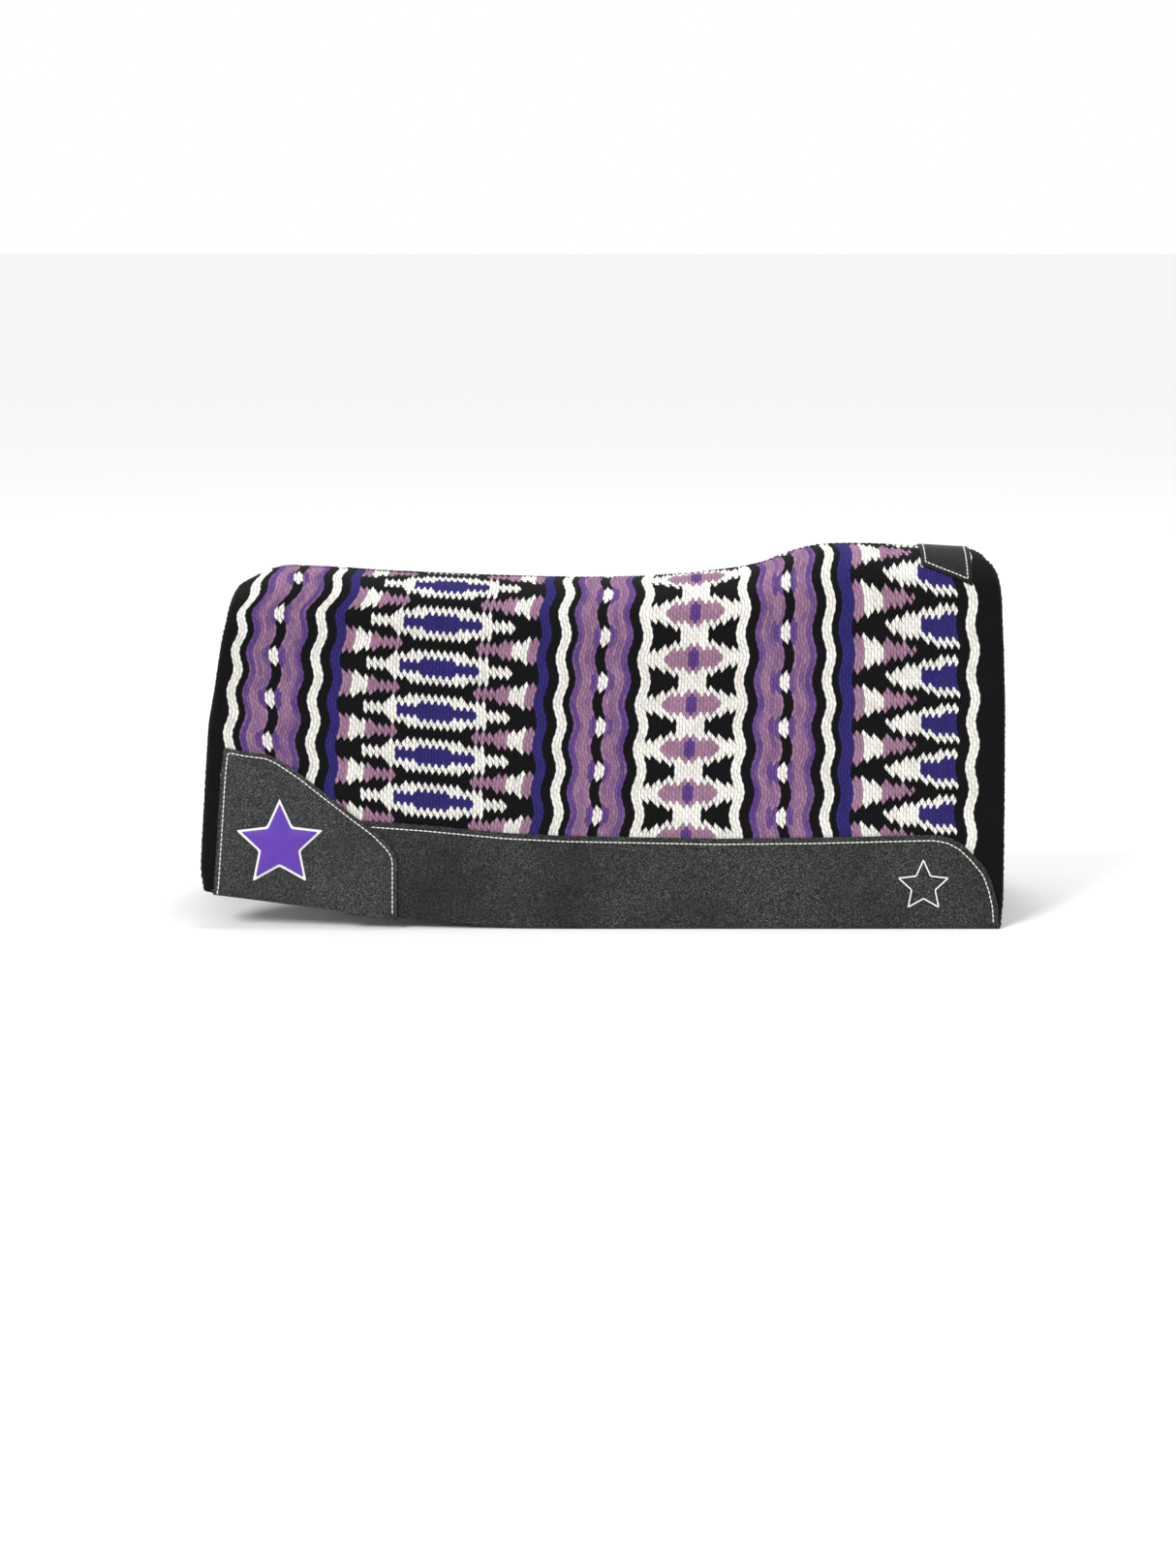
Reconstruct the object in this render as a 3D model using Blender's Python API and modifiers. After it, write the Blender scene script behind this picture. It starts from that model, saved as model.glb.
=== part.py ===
"""Western show saddle pad, folded over its spine and standing on its two lower edges.

+X is the front (withers), +Z is up and the two halves mirror each other about Y = 0. Each half is
a woven top, a felt core and an underside felt, with leather at the bottom edge, at the rear corner
and over the withers. Every layer follows one drape: a fold arc at the spine, then a flat flap.
"""
import math

import bmesh
import bpy

# Driving dimensions, in metres.
SPLAY = math.radians(12.0)  # lean of each flap from the vertical
ARC = math.pi / 2 - SPLAY  # angle the fold turns through on each side
PLANE = 0.1169  # distance of the flap's outer face from the X axis
TOP_T, CORE_T, UNDER_T = 0.0040, 0.0120, 0.0080  # weave, felt core, underside felt
LEATHER_T = 0.0020
GAP = 0.0003  # clearance between pieces that touch
END_INSET = TOP_T + 0.0016  # where the felts stop, inside the weave's turned-down ends
THREAD_R = 0.0005
RETURN_H = 0.034  # leather turned up behind the bottom edge
FOLD_ROWS = 10
TAPE_HALF_ANGLE = math.radians(35.0)
STAR_R, STAR_BORDER, SMALL_STAR_R = 0.046, 0.0055, 0.026

# Ridge height (x, z): rear hump, seat dip, withers.
RIDGE = (
    (-0.373, 0.3310), (-0.363, 0.3365), (-0.3435, 0.3465), (-0.324, 0.3522), (-0.3045, 0.3516),
    (-0.2655, 0.3496), (-0.2264, 0.3466), (-0.1484, 0.3432), (-0.0703, 0.3404), (-0.012, 0.3395),
    (0.0468, 0.3410), (0.0859, 0.3438), (0.1250, 0.3478), (0.1444, 0.3506), (0.1640, 0.3550),
    (0.1835, 0.3635), (0.2030, 0.3700), (0.2225, 0.3736), (0.2420, 0.3745), (0.2616, 0.3745),
    (0.3006, 0.3733), (0.3400, 0.3710), (0.3590, 0.3698), (0.3787, 0.3690),
)
# Columns shared by every layer, so that their facets stay parallel.
COLUMNS = (
    -0.355, -0.338, -0.318, -0.285, -0.235, -0.185, -0.135, -0.085, -0.035, 0.015, 0.060, 0.100,
    0.130, 0.150, 0.168, 0.186, 0.205, 0.225, 0.260, 0.300, 0.340, 0.359,
)
# Where the pad ends at the rear and at the front, by row: down the fold, then down the flap.
FOLD_ENDS = (
    (0, -0.3725, 0.3730), (12, -0.3740, 0.3790), (25, -0.3760, 0.3885), (41, -0.3780, 0.3980),
    (64, -0.3806, 0.4010), (78, -0.3840, 0.4025),
)
FLAP_ENDS = (
    (0.0, -0.3840, 0.4025), (0.20, -0.3910, 0.4050), (0.33, -0.3970, 0.4060), (0.60, -0.4010, 0.4055),
    (0.93, -0.4055, 0.4040), (1.0, -0.4010, 0.4010),
)
FLAP_ROWS = (0.20, 0.33, 0.60, 0.93, 1.0)
# Bottom edge (x, z): straight on the floor at the front, lifting towards the rear.
HEM = (
    (-0.406, 0.0350), (-0.355, 0.0288), (-0.318, 0.0241), (-0.285, 0.0200), (-0.235, 0.0140),
    (-0.185, 0.0087), (-0.135, 0.0043), (-0.085, 0.0012), (-0.035, 0.0), (0.410, 0.0),
)
# Upper edge of each leather on the flap (x, height up the flap).
WEAR_EDGE = (
    (-0.256, 0.1100), (-0.1776, 0.1044), (-0.0976, 0.0966), (-0.0381, 0.0937), (0.1152, 0.0908),
    (0.2108, 0.0917), (0.2948, 0.0937), (0.3338, 0.0947), (0.3504, 0.0917), (0.3640, 0.0839),
    (0.3758, 0.0722), (0.3884, 0.0566), (0.3943, 0.0400), (0.3982, 0.0224), (0.3992, 0.0068),
)
CORNER_EDGE = (
    (-0.3914, 0.0400), (-0.3880, 0.0930), (-0.3845, 0.1520), (-0.3816, 0.1830), (-0.3621, 0.1786),
    (-0.3377, 0.1757), (-0.3270, 0.1708), (-0.3035, 0.1552), (-0.2762, 0.1337), (-0.2660, 0.1258),
    (-0.2600, 0.1212), (-0.2469, 0.1113), (-0.2284, 0.0976), (-0.2147, 0.0839), (-0.2085, 0.0755),
    (-0.2069, 0.0683),
)
CORNER_STEP = (-0.2655, -0.2605)  # where the corner leather climbs onto the wear leather
WITHERS = ((0.3220, 0.0400), (0.3400, 0.0470), (0.3590, 0.0540), (0.3730, 0.0600))  # (x, depth)


def along(table, x, column=1):
    """Value at x in a table of rows that rise by their first number."""
    if x <= table[0][0]:
        return table[0][column]
    for low, high in zip(table, table[1:]):
        if x <= high[0]:
            share = (x - low[0]) / (high[0] - low[0])
            return low[column] + share * (high[column] - low[column])
    return table[-1][column]


def with_columns(edge):
    """The edge with the layers' columns added, so that leather and layers bend at the same places."""
    inside = [(x, along(edge, x)) for x in COLUMNS if edge[0][0] < x < edge[-1][0]]
    spaced = [(x, up) for x, up in inside if min(abs(x - other) for other, _ in edge) > 0.0005]
    return sorted(list(edge) + spaced)


BREAKS = tuple((x, along(RIDGE, x)) for x in (RIDGE[0][0],) + COLUMNS + (RIDGE[-1][0],))


def fold(x):
    """Radius of the fold's outer face at x and the height of its centre."""
    ridge = along(BREAKS, x)
    radius = (PLANE - ridge * math.sin(SPLAY)) / (1 - math.sin(SPLAY))
    return radius, ridge - radius


def on_fold(side, x, angle, rise):
    """Point on the fold, this angle down from the ridge and this far out of the outer face."""
    radius, centre = fold(x)
    across = max((radius + rise) * math.sin(angle), GAP)
    return x, side * across, centre + (radius + rise) * math.cos(angle)


def on_flap(side, x, up, rise):
    """Point on the flat flap, this far up it from the floor and this far out of its face."""
    across = PLANE / math.cos(SPLAY) - up * math.sin(SPLAY) + rise * math.cos(SPLAY)
    return x, side * across, up * math.cos(SPLAY) + rise * math.sin(SPLAY)


def up_at(height, rise):
    """How far up the flap a point of this height is, at this distance out of its face."""
    return (height - rise * math.sin(SPLAY)) / math.cos(SPLAY)


def finish(obj, colour, roughness):
    """Give the piece its own material and put it in the pad's collection."""
    material = bpy.data.materials.new(obj.name + "_material")
    material.use_nodes = True
    shader = material.node_tree.nodes["Principled BSDF"]
    shader.inputs["Base Color"].default_value = (*colour, 1.0)
    shader.inputs["Roughness"].default_value = roughness
    obj.data.materials.append(material)
    pad.objects.link(obj)
    return obj


def shell(name, outer, inner, colour, roughness):
    """A grid sheet extruded once, its outer and inner faces laid on the two sets of points."""
    rows, columns = len(outer), len(outer[0])
    bm = bmesh.new()
    bmesh.ops.create_grid(bm, x_segments=columns - 1, y_segments=rows - 1, size=1.0)
    bmesh.ops.triangulate(bm, faces=bm.faces[:], quad_method="FIXED")
    front = sorted(bm.verts, key=lambda v: (round(-v.co.y, 6), round(v.co.x, 6)))
    lifted = bmesh.ops.extrude_face_region(bm, geom=bm.faces[:], use_keep_orig=True)["geom"]
    back = sorted((v for v in lifted if isinstance(v, bmesh.types.BMVert)),
                  key=lambda v: (round(-v.co.y, 6), round(v.co.x, 6)))
    for verts, points in ((front, outer), (back, inner)):
        for index, vert in enumerate(verts):
            vert.co = points[index // columns][index % columns]
    bmesh.ops.recalc_face_normals(bm, faces=bm.faces)
    if bm.calc_volume(signed=True) < 0:
        bmesh.ops.reverse_faces(bm, faces=bm.faces)
    mesh = bpy.data.meshes.new(name)
    bm.to_mesh(mesh)
    bm.free()
    return finish(bpy.data.objects.new(name, mesh), colour, roughness)


def thread(name, points, radius, colour, closed=False):
    """A round thread or cord along the points."""
    curve = bpy.data.curves.new(name, "CURVE")
    curve.dimensions = "3D"
    curve.bevel_depth = radius
    curve.bevel_resolution = 1
    curve.use_fill_caps = True
    spline = curve.splines.new("POLY")
    spline.points.add(len(points) - 1)
    for point, co in zip(spline.points, points):
        point.co = (*co, 1.0)
    spline.use_cyclic_u = closed
    return finish(bpy.data.objects.new(name, curve), colour, 0.6)


def rows_of(side, rise, inset, hem_lift, ends=()):
    """Points of one face of a layer, row by row from the ridge to the hem. The ends are the extra
    rises at which the face carries on down over the front and rear edges."""
    rows = []
    for step in range(FOLD_ROWS + 1):
        angle = ARC * step / FOLD_ROWS
        rear = along(FOLD_ENDS, math.degrees(angle), 1) + inset
        front = along(FOLD_ENDS, math.degrees(angle), 2) - inset
        line = [(rear, r) for r in ends] + [(x, rise) for x in (rear, *COLUMNS, front)]
        line += [(front, r) for r in reversed(ends)]
        rows.append([on_fold(side, x, angle, r) for x, r in line])
    for share in FLAP_ROWS:
        rear = along(FLAP_ENDS, share, 1) + inset
        front = along(FLAP_ENDS, share, 2) - inset
        line = [(rear, r) for r in ends] + [(x, rise) for x in (rear, *COLUMNS, front)]
        line += [(front, r) for r in reversed(ends)]
        row = []
        for x, r in line:
            top = PLANE * math.tan(SPLAY) + fold(x)[1] * math.cos(SPLAY)
            bottom = up_at(along(HEM, x) + hem_lift, r)
            row.append(on_flap(side, x, top + share * (bottom - top), r))
        rows.append(row)
    return rows


HEM_LIFT = LEATHER_T + GAP
FULL_T = TOP_T + GAP + CORE_T + GAP + UNDER_T


def woven_top(label, side):
    """Wool blanket over the whole half, turned down over the front and rear edges."""
    outer = rows_of(side, 0.0, 0.0, HEM_LIFT, ends=(-FULL_T,))
    inner = rows_of(side, -TOP_T, TOP_T, HEM_LIFT, ends=(-FULL_T,))
    shell(label + "_woven_top", outer, inner, (0.16, 0.09, 0.22), 0.95)


def felt_core(label, side):
    """Thick felt sealed between the weave and the underside."""
    high = -TOP_T - GAP
    outer = rows_of(side, high, END_INSET, HEM_LIFT)
    inner = rows_of(side, high - CORE_T, END_INSET, HEM_LIFT)
    shell(label + "_felt_core", outer, inner, (0.10, 0.10, 0.11), 1.0)


def underside_felt(label, side):
    """Felt against the horse's back."""
    high = -TOP_T - CORE_T - 2 * GAP
    outer = rows_of(side, high, END_INSET, HEM_LIFT)
    inner = rows_of(side, high - UNDER_T, END_INSET, HEM_LIFT)
    shell(label + "_underside_felt", outer, inner, (0.03, 0.03, 0.032), 1.0)


def hem_wrap(side, edge, lifts):
    """Outer and inner points of a leather that runs down the flap, under the hem and up behind it.
    Each lift is how far that column stands off the pad."""
    faces = []
    for off in (LEATHER_T, 0.0):
        rows = [[], [], [], []]
        for (x, up), lift in zip(edge, lifts):
            rise = GAP + lift + off
            low = along(HEM, x) + HEM_LIFT - GAP - lift - off
            behind = -FULL_T - GAP - lift - off
            turn = min(RETURN_H, 0.9 * up)
            rows[0].append(on_flap(side, x, up, rise))
            rows[1].append(on_flap(side, x, up_at(low, rise), rise))
            rows[2].append(on_flap(side, x, up_at(low, behind), behind))
            rows[3].append(on_flap(side, x, up_at(turn + low, behind), behind))
        faces.append(rows)
    return faces


def wear_leather(label, side):
    """Wear strip along the bottom edge, its front end swept down to the hem."""
    edge = with_columns(WEAR_EDGE)
    outer, inner = hem_wrap(side, edge, [0.0] * len(edge))
    shell(label + "_wear_leather", outer, inner, (0.035, 0.036, 0.038), 0.45)


def corner_lift(x):
    """How far the rear corner leather stands off the pad, where it laps over the wear leather."""
    low, high = CORNER_STEP
    return (LEATHER_T + GAP) * min(max((x - low) / (high - low), 0.0), 1.0)


def rear_corner_leather(label, side):
    """Shaped leather over the rear corner, lapped over the rear end of the wear strip."""
    edge = with_columns(CORNER_EDGE)
    outer, inner = hem_wrap(side, edge, [corner_lift(x) for x, _ in edge])
    shell(label + "_rear_corner_leather", outer, inner, (0.03, 0.031, 0.033), 0.45)


def withers_leather(label, side):
    """Half of the smooth leather over the ridge at the withers."""
    faces = []
    for rise in (GAP + LEATHER_T, GAP):
        faces.append([[on_fold(side, x, share / 8 * depth / fold(x)[0], rise) for x, depth in WITHERS]
                      for share in range(9)])
    shell(label + "_withers_leather", faces[0], faces[1], (0.012, 0.012, 0.013), 0.25)


def wear_leather_stitching(label, side):
    """Lockstitch row just inside the strip's upper edge."""
    rise = 2 * GAP + LEATHER_T + THREAD_R
    line = [(-0.2000, 0.0998), (-0.1776, 0.0984), (-0.0976, 0.0910), (-0.0381, 0.0881),
            (0.1152, 0.0852), (0.2108, 0.0861), (0.2948, 0.0881), (0.3330, 0.0891), (0.3480, 0.0864),
            (0.3600, 0.0796), (0.3716, 0.0682), (0.3832, 0.0540), (0.3888, 0.0385), (0.3926, 0.0215),
            (0.3935, 0.0060)]
    thread(label + "_wear_leather_stitching", [on_flap(side, x, up, rise) for x, up in line],
           THREAD_R, (0.75, 0.74, 0.70))


def rear_corner_stitching(label, side):
    """Lockstitch row round the rear corner leather."""
    line = [(-0.3865, 0.0440), (-0.3835, 0.0920), (-0.3800, 0.1500), (-0.3773, 0.1775),
            (-0.3615, 0.1741), (-0.3385, 0.1713), (-0.3290, 0.1668), (-0.3060, 0.1516),
            (-0.2788, 0.1302), (-0.2655, 0.1200), (-0.2605, 0.1162), (-0.2496, 0.1078),
            (-0.2314, 0.0942), (-0.2184, 0.0812), (-0.2128, 0.0735), (-0.2114, 0.0670),
            (-0.2114, 0.0180)]
    rise = 2 * GAP + LEATHER_T + THREAD_R
    thread(label + "_rear_corner_stitching",
           [on_flap(side, x, up, rise + corner_lift(x)) for x, up in line],
           THREAD_R, (0.75, 0.74, 0.70))


def withers_stitching(label, side):
    """Lockstitch row round the withers leather, open at the ridge."""
    rise = 3 * GAP + LEATHER_T + THREAD_R
    down = [(0.3265, 0.0012 + 0.0353 * step / 7) for step in range(8)]
    across = [(0.3335, 0.0396), (0.3400, 0.0425), (0.3465, 0.0449), (0.3530, 0.0472), (0.3590, 0.0495)]
    back_up = [(0.3680, 0.0535 - 0.0523 * step / 10) for step in range(11)]
    thread(label + "_withers_stitching",
           [on_fold(side, x, depth / fold(x)[0], rise) for x, depth in down + across + back_up],
           THREAD_R, (0.75, 0.74, 0.70))


def star(radius, waist=0.48, turn=0.0):
    """Corners of a five-pointed star about the origin."""
    corners = []
    for index in range(10):
        angle = math.radians(90 + 36 * index) + turn
        reach = radius if index % 2 == 0 else radius * waist
        corners.append((reach * math.cos(angle), reach * math.sin(angle)))
    return corners


def star_patch(name, side, centre, radius, rise, thickness, colour):
    """A star cut from sheet and given its thickness with Solidify, lying on the flap."""
    points = [on_flap(side, centre[0] + a, centre[1] + b, rise) for a, b in star(radius)]
    mesh = bpy.data.meshes.new(name)
    mesh.from_pydata(points, [], [tuple(range(10))])
    flat = bpy.data.objects.new(name, mesh)
    thick = flat.modifiers.new("Thickness", "SOLIDIFY")
    thick.thickness = thickness
    thick.offset = -side
    finish(flat, colour, 0.7)


def rear_emblem(label, side):
    """Purple appliqué star with a pale border, on the rear corner leather."""
    base = 2 * GAP + LEATHER_T
    star_patch(label + "_rear_emblem_backing", side, (-0.3250, 0.0850), STAR_R, base, 0.0006,
               (0.75, 0.74, 0.72))
    star_patch(label + "_rear_emblem", side, (-0.3250, 0.0850), STAR_R - STAR_BORDER,
               base + 0.0006 + GAP, 0.0010, (0.10, 0.02, 0.40))


def front_emblem(label, side):
    """Star outline in pale cord, near the front end of the wear leather."""
    rise = 2 * GAP + LEATHER_T + 0.0008
    points = [on_flap(side, 0.3230 + a, 0.0430 + b, rise) for a, b in star(SMALL_STAR_R)]
    thread(label + "_front_emblem", points, 0.0008, (0.75, 0.74, 0.72), closed=True)


def spine_tape():
    """Tape under the ridge that joins the two halves."""
    faces = []
    for rise in (-FULL_T - GAP, -FULL_T - GAP - 0.0018):
        rows = []
        for step in range(-4, 5):
            angle = TAPE_HALF_ANGLE * step / 4
            row = []
            for x in (-0.366, *COLUMNS[1:], 0.366):
                radius, centre = fold(x)
                row.append((x, (radius + rise) * math.sin(angle), centre + (radius + rise) * math.cos(angle)))
            rows.append(row)
        faces.append(rows)
    shell("spine_tape", faces[0], faces[1], (0.02, 0.02, 0.022), 0.9)


def spine_seam_thread():
    """Lockstitch along the middle of the tape."""
    points = []
    for x in (-0.360, *COLUMNS[1:], 0.362):
        radius, centre = fold(x)
        points.append((x, 0.0, centre + radius - FULL_T - 3 * GAP - 0.0018 - THREAD_R))
    thread("spine_seam_thread", points, THREAD_R, (0.60, 0.58, 0.55))


for old in list(bpy.data.objects):
    bpy.data.objects.remove(old, do_unlink=True)
pad = bpy.data.collections.new("saddle_pad")
bpy.context.scene.collection.children.link(pad)
for label, side in (("right", -1), ("left", 1)):
    woven_top(label, side)
    felt_core(label, side)
    underside_felt(label, side)
    wear_leather(label, side)
    wear_leather_stitching(label, side)
    rear_corner_leather(label, side)
    rear_corner_stitching(label, side)
    withers_leather(label, side)
    withers_stitching(label, side)
    rear_emblem(label, side)
    front_emblem(label, side)
spine_tape()
spine_seam_thread()
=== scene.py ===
"""Western show saddle pad: its woven tops, felts, leathers, stitching and badges, folded over the spine."""
import math

import bmesh
import bpy
import numpy as np
from mathutils import Matrix, Vector


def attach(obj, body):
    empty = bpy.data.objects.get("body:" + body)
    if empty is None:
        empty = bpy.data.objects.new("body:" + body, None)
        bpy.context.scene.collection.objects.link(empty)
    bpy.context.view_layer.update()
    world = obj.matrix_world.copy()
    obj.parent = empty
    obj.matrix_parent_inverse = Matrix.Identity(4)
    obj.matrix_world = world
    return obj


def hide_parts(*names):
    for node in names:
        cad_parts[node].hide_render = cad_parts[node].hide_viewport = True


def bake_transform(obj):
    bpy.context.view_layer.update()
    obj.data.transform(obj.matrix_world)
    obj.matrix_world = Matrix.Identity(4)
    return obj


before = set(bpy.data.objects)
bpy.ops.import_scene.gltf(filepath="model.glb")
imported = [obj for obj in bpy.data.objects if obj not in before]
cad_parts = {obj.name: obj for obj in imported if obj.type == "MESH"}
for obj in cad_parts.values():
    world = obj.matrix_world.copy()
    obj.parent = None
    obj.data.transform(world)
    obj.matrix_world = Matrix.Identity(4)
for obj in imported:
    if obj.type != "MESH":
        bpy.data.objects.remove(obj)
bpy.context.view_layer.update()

bpy.ops.object.select_all(action="DESELECT")
SIDES = (("right", -1.0), ("left", 1.0))


# ---------------------------------------------------------------------------------------------
# Camera, floor and light: a pale floor in white surroundings, lit by a wide soft sun from high up in
# front and to the left, and by two softboxes. The camera looks square at the right flap, which
# leans in by SPLAY.

SPLAY = math.radians(12.0)
VIEW_DISTANCE = 3.0
VIEW_HEIGHT = 1.580
aim = Vector((-0.0146, -0.0892, 0.1427))
camera_data = bpy.data.cameras.new("camera")
camera_data.lens = 36.0 * VIEW_DISTANCE / VIEW_HEIGHT
camera = bpy.data.objects.new("camera", camera_data)
camera.location = aim + VIEW_DISTANCE * Vector((0.0, -math.cos(SPLAY), math.sin(SPLAY)))
camera.rotation_euler = (math.pi / 2 - SPLAY, 0.0, 0.0)
bpy.context.scene.collection.objects.link(camera)
bpy.context.scene.camera = camera
bpy.context.scene.view_settings.view_transform = "Standard"

bpy.ops.mesh.primitive_plane_add(size=40.0, location=(0.0, 0.0, 0.0))
floor = bpy.context.object
floor.name = "floor"
floor_paint = bpy.data.materials.new("floor_paint")
floor_paint.use_nodes = True
paint = floor_paint.node_tree.nodes["Principled BSDF"]
paint.inputs["Base Color"].default_value = (0.86, 0.86, 0.86, 1.0)
paint.inputs["Roughness"].default_value = 0.9
floor.data.materials.append(floor_paint)

LIGHT_ON_PAD, WALL_BEHIND = 0.60, 1.0   # brightness of the surroundings, as light and as seen
world = bpy.data.worlds.new("studio")
world.use_nodes = True
studio = world.node_tree
seen = studio.nodes.new("ShaderNodeLightPath")
strength = studio.nodes.new("ShaderNodeMapRange")
strength.inputs["To Min"].default_value = LIGHT_ON_PAD
strength.inputs["To Max"].default_value = WALL_BEHIND
studio.links.new(seen.outputs["Is Camera Ray"], strength.inputs["Value"])
studio.nodes["Background"].inputs["Color"].default_value = (1.0, 1.0, 1.0, 1.0)
studio.links.new(strength.outputs["Result"], studio.nodes["Background"].inputs["Strength"])
bpy.context.scene.world = world


def softbox(name, place, size, power):
    """Square area light turned towards the pad."""
    data = bpy.data.lights.new(name, "AREA")
    data.size = size
    data.energy = power
    light = bpy.data.objects.new(name, data)
    light.location = place
    light.rotation_euler = (Vector((0.0, 0.0, 0.2)) - light.location).to_track_quat("-Z", "Y").to_euler()
    bpy.context.scene.collection.objects.link(light)


key_data = bpy.data.lights.new("key_light", "SUN")
key_data.energy = 2.4
key_data.angle = math.radians(24.0)
key_light = bpy.data.objects.new("key_light", key_data)
key_light.rotation_euler = Vector((2.2, 1.9, -2.4)).to_track_quat("-Z", "Y").to_euler()
bpy.context.scene.collection.objects.link(key_light)
softbox("fill_light", Vector((2.4, -2.4, 1.6)), 1.8, 26.0)
softbox("top_light", Vector((0.2, 0.8, 2.6)), 1.4, 40.0)


# ---------------------------------------------------------------------------------------------
# Woven tops: one wool blanket laid over the ridge, a half on each side. Thick single-colour yarns
# run down the drop and pass over the picks as pointed beads, half a bead apart from yarn to yarn;
# the blanket is turned down over the front and rear edges of the felt.

PLANE = 0.1169               # distance of the flap's face from the middle
ARC = math.pi / 2 - SPLAY    # angle the fold turns through on each side
TOP_T, CORE_T, UNDER_T = 0.0040, 0.0120, 0.0080
GAP = 0.0003
RIDGE_GAP = 0.00002          # between the ridge and each half, which meet there
LEATHER_T = 0.0020
FULL_T = TOP_T + GAP + CORE_T + GAP + UNDER_T
HEM_LIFT = LEATHER_T + GAP
RIDGE = (
    (-0.373, 0.3310), (-0.363, 0.3365), (-0.3435, 0.3465), (-0.324, 0.3522), (-0.3045, 0.3516),
    (-0.2655, 0.3496), (-0.2264, 0.3466), (-0.1484, 0.3432), (-0.0703, 0.3404), (-0.012, 0.3395),
    (0.0468, 0.3410), (0.0859, 0.3438), (0.1250, 0.3478), (0.1444, 0.3506), (0.1640, 0.3550),
    (0.1835, 0.3635), (0.2030, 0.3700), (0.2225, 0.3736), (0.2420, 0.3745), (0.2616, 0.3745),
    (0.3006, 0.3733), (0.3400, 0.3710), (0.3590, 0.3698), (0.3787, 0.3690),
)                            # ridge height by x
HEM = (
    (-0.406, 0.0350), (-0.355, 0.0288), (-0.318, 0.0241), (-0.285, 0.0200), (-0.235, 0.0140),
    (-0.185, 0.0087), (-0.135, 0.0043), (-0.085, 0.0012), (-0.035, 0.0), (0.410, 0.0),
)                            # height of the bottom edge by x
FOLD_ENDS = (
    (0, -0.3725, 0.3730), (12, -0.3740, 0.3790), (25, -0.3760, 0.3885), (41, -0.3780, 0.3980),
    (64, -0.3806, 0.4010), (78, -0.3840, 0.4025),
)                            # degrees down the fold, rear end, front end
FLAP_ENDS = (
    (0.20, -0.3910, 0.4050), (0.33, -0.3970, 0.4060), (0.60, -0.4010, 0.4055),
    (0.93, -0.4055, 0.4040), (1.0, -0.4010, 0.4010),
)                            # share down the flap, rear end, front end


def smooth_interp(x, table, column=1, reach=0.006):
    """Value at x in a table, its corners rounded off over this reach on each side."""
    x = np.asarray(x, float)
    knots = np.array([row[0] for row in table], float)
    values = np.array([row[column] for row in table], float)
    return sum(np.interp(x + step * reach, knots, values) for step in (-1.0, -0.5, 0.0, 0.5, 1.0)) / 5


def fold(x):
    """Radius of the fold's outer face at x and the height of its centre."""
    ridge = smooth_interp(x, RIDGE)
    radius = (PLANE - ridge * math.sin(SPLAY)) / (1 - math.sin(SPLAY))
    return radius, ridge - radius


def flap_top(x):
    """How far up the flap the fold begins."""
    return PLANE * math.tan(SPLAY) + fold(x)[1] * math.cos(SPLAY)


def flap_bottom(x, rise, lift=HEM_LIFT):
    """How far up the flap the hem is, for a face at this rise."""
    return (smooth_interp(x, HEM) + lift - rise * math.sin(SPLAY)) / math.cos(SPLAY)


def drop(x):
    """Length of the cloth from the hem to the ridge."""
    return fold(x)[0] * ARC + flap_top(x) - flap_bottom(x, 0.0)


def on_flap(side, x, up, rise):
    """Points on the flat flap, this far up it and this far out of its face."""
    x, up, rise = np.broadcast_arrays(x, up, rise)
    across = PLANE / math.cos(SPLAY) - up * math.sin(SPLAY) + rise * math.cos(SPLAY)
    return np.stack([x, side * across, up * math.cos(SPLAY) + rise * math.sin(SPLAY)], axis=-1)


def on_fold(side, x, angle, rise):
    """Points on the fold, this angle down from the ridge."""
    radius, centre = fold(x)
    across = np.maximum((radius + rise) * np.sin(angle), RIDGE_GAP)
    height = centre + (radius + rise) * np.cos(angle)
    return np.stack(np.broadcast_arrays(x, side * across, height), axis=-1)


def on_drape(side, x, up_cloth, rise):
    """Points at this distance along the cloth from the hem, this far out of the outer face."""
    x, up_cloth, rise = np.broadcast_arrays(x, up_cloth, rise)
    radius = fold(x)[0]
    flat = flap_top(x) - flap_bottom(x, 0.0)
    share = np.minimum(up_cloth / flat, 1.0)
    low = flap_bottom(x, rise)
    flap = on_flap(side, x, low + share * (flap_top(x) - low), rise)
    angle = np.clip(ARC - (up_cloth - flat) / radius, 0.0, ARC)
    return np.where((up_cloth <= flat)[..., None], flap, on_fold(side, x, angle, rise))


REAR, FRONT = 1, 2           # the tables' columns of the rear end and the front end
END_CURVE = 0.010            # over how much of the drop a corner of the ends is rounded off


def end_of_pad(x_near, up_cloth, column):
    """Where the pad ends at the rear or the front, this far up the cloth."""
    radius = float(fold(x_near)[0])
    flat = float(flap_top(x_near) - flap_bottom(x_near, 0.0))
    rows = [((1 - row[0]) * flat, row[column]) for row in reversed(FLAP_ENDS)]
    rows += [(flat + (ARC - math.radians(row[0])) * radius, row[column]) for row in reversed(FOLD_ENDS)]
    return smooth_interp(up_cloth, rows, 1, END_CURVE)


REAR_AT, FRONT_AT = -0.380, 0.390   # places by which the drop is taken at each end


def ends_inside(share, inset):
    """Where a layer that stops this far inside the pad's ends begins and ends, by share of the drop."""
    rear = end_of_pad(REAR_AT, share * float(drop(REAR_AT)), REAR) + inset
    front = end_of_pad(FRONT_AT, share * float(drop(FRONT_AT)), FRONT) - inset
    return rear[:, None], front[:, None]


def srgb(red, green, blue):
    """Screen colour, 0 to 255, as the linear colour that a shader takes."""
    return tuple((v / 255 / 12.92) if v <= 10 else ((v / 255 + 0.055) / 1.055) ** 2.4
                 for v in (red, green, blue)) + (1.0,)


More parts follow.
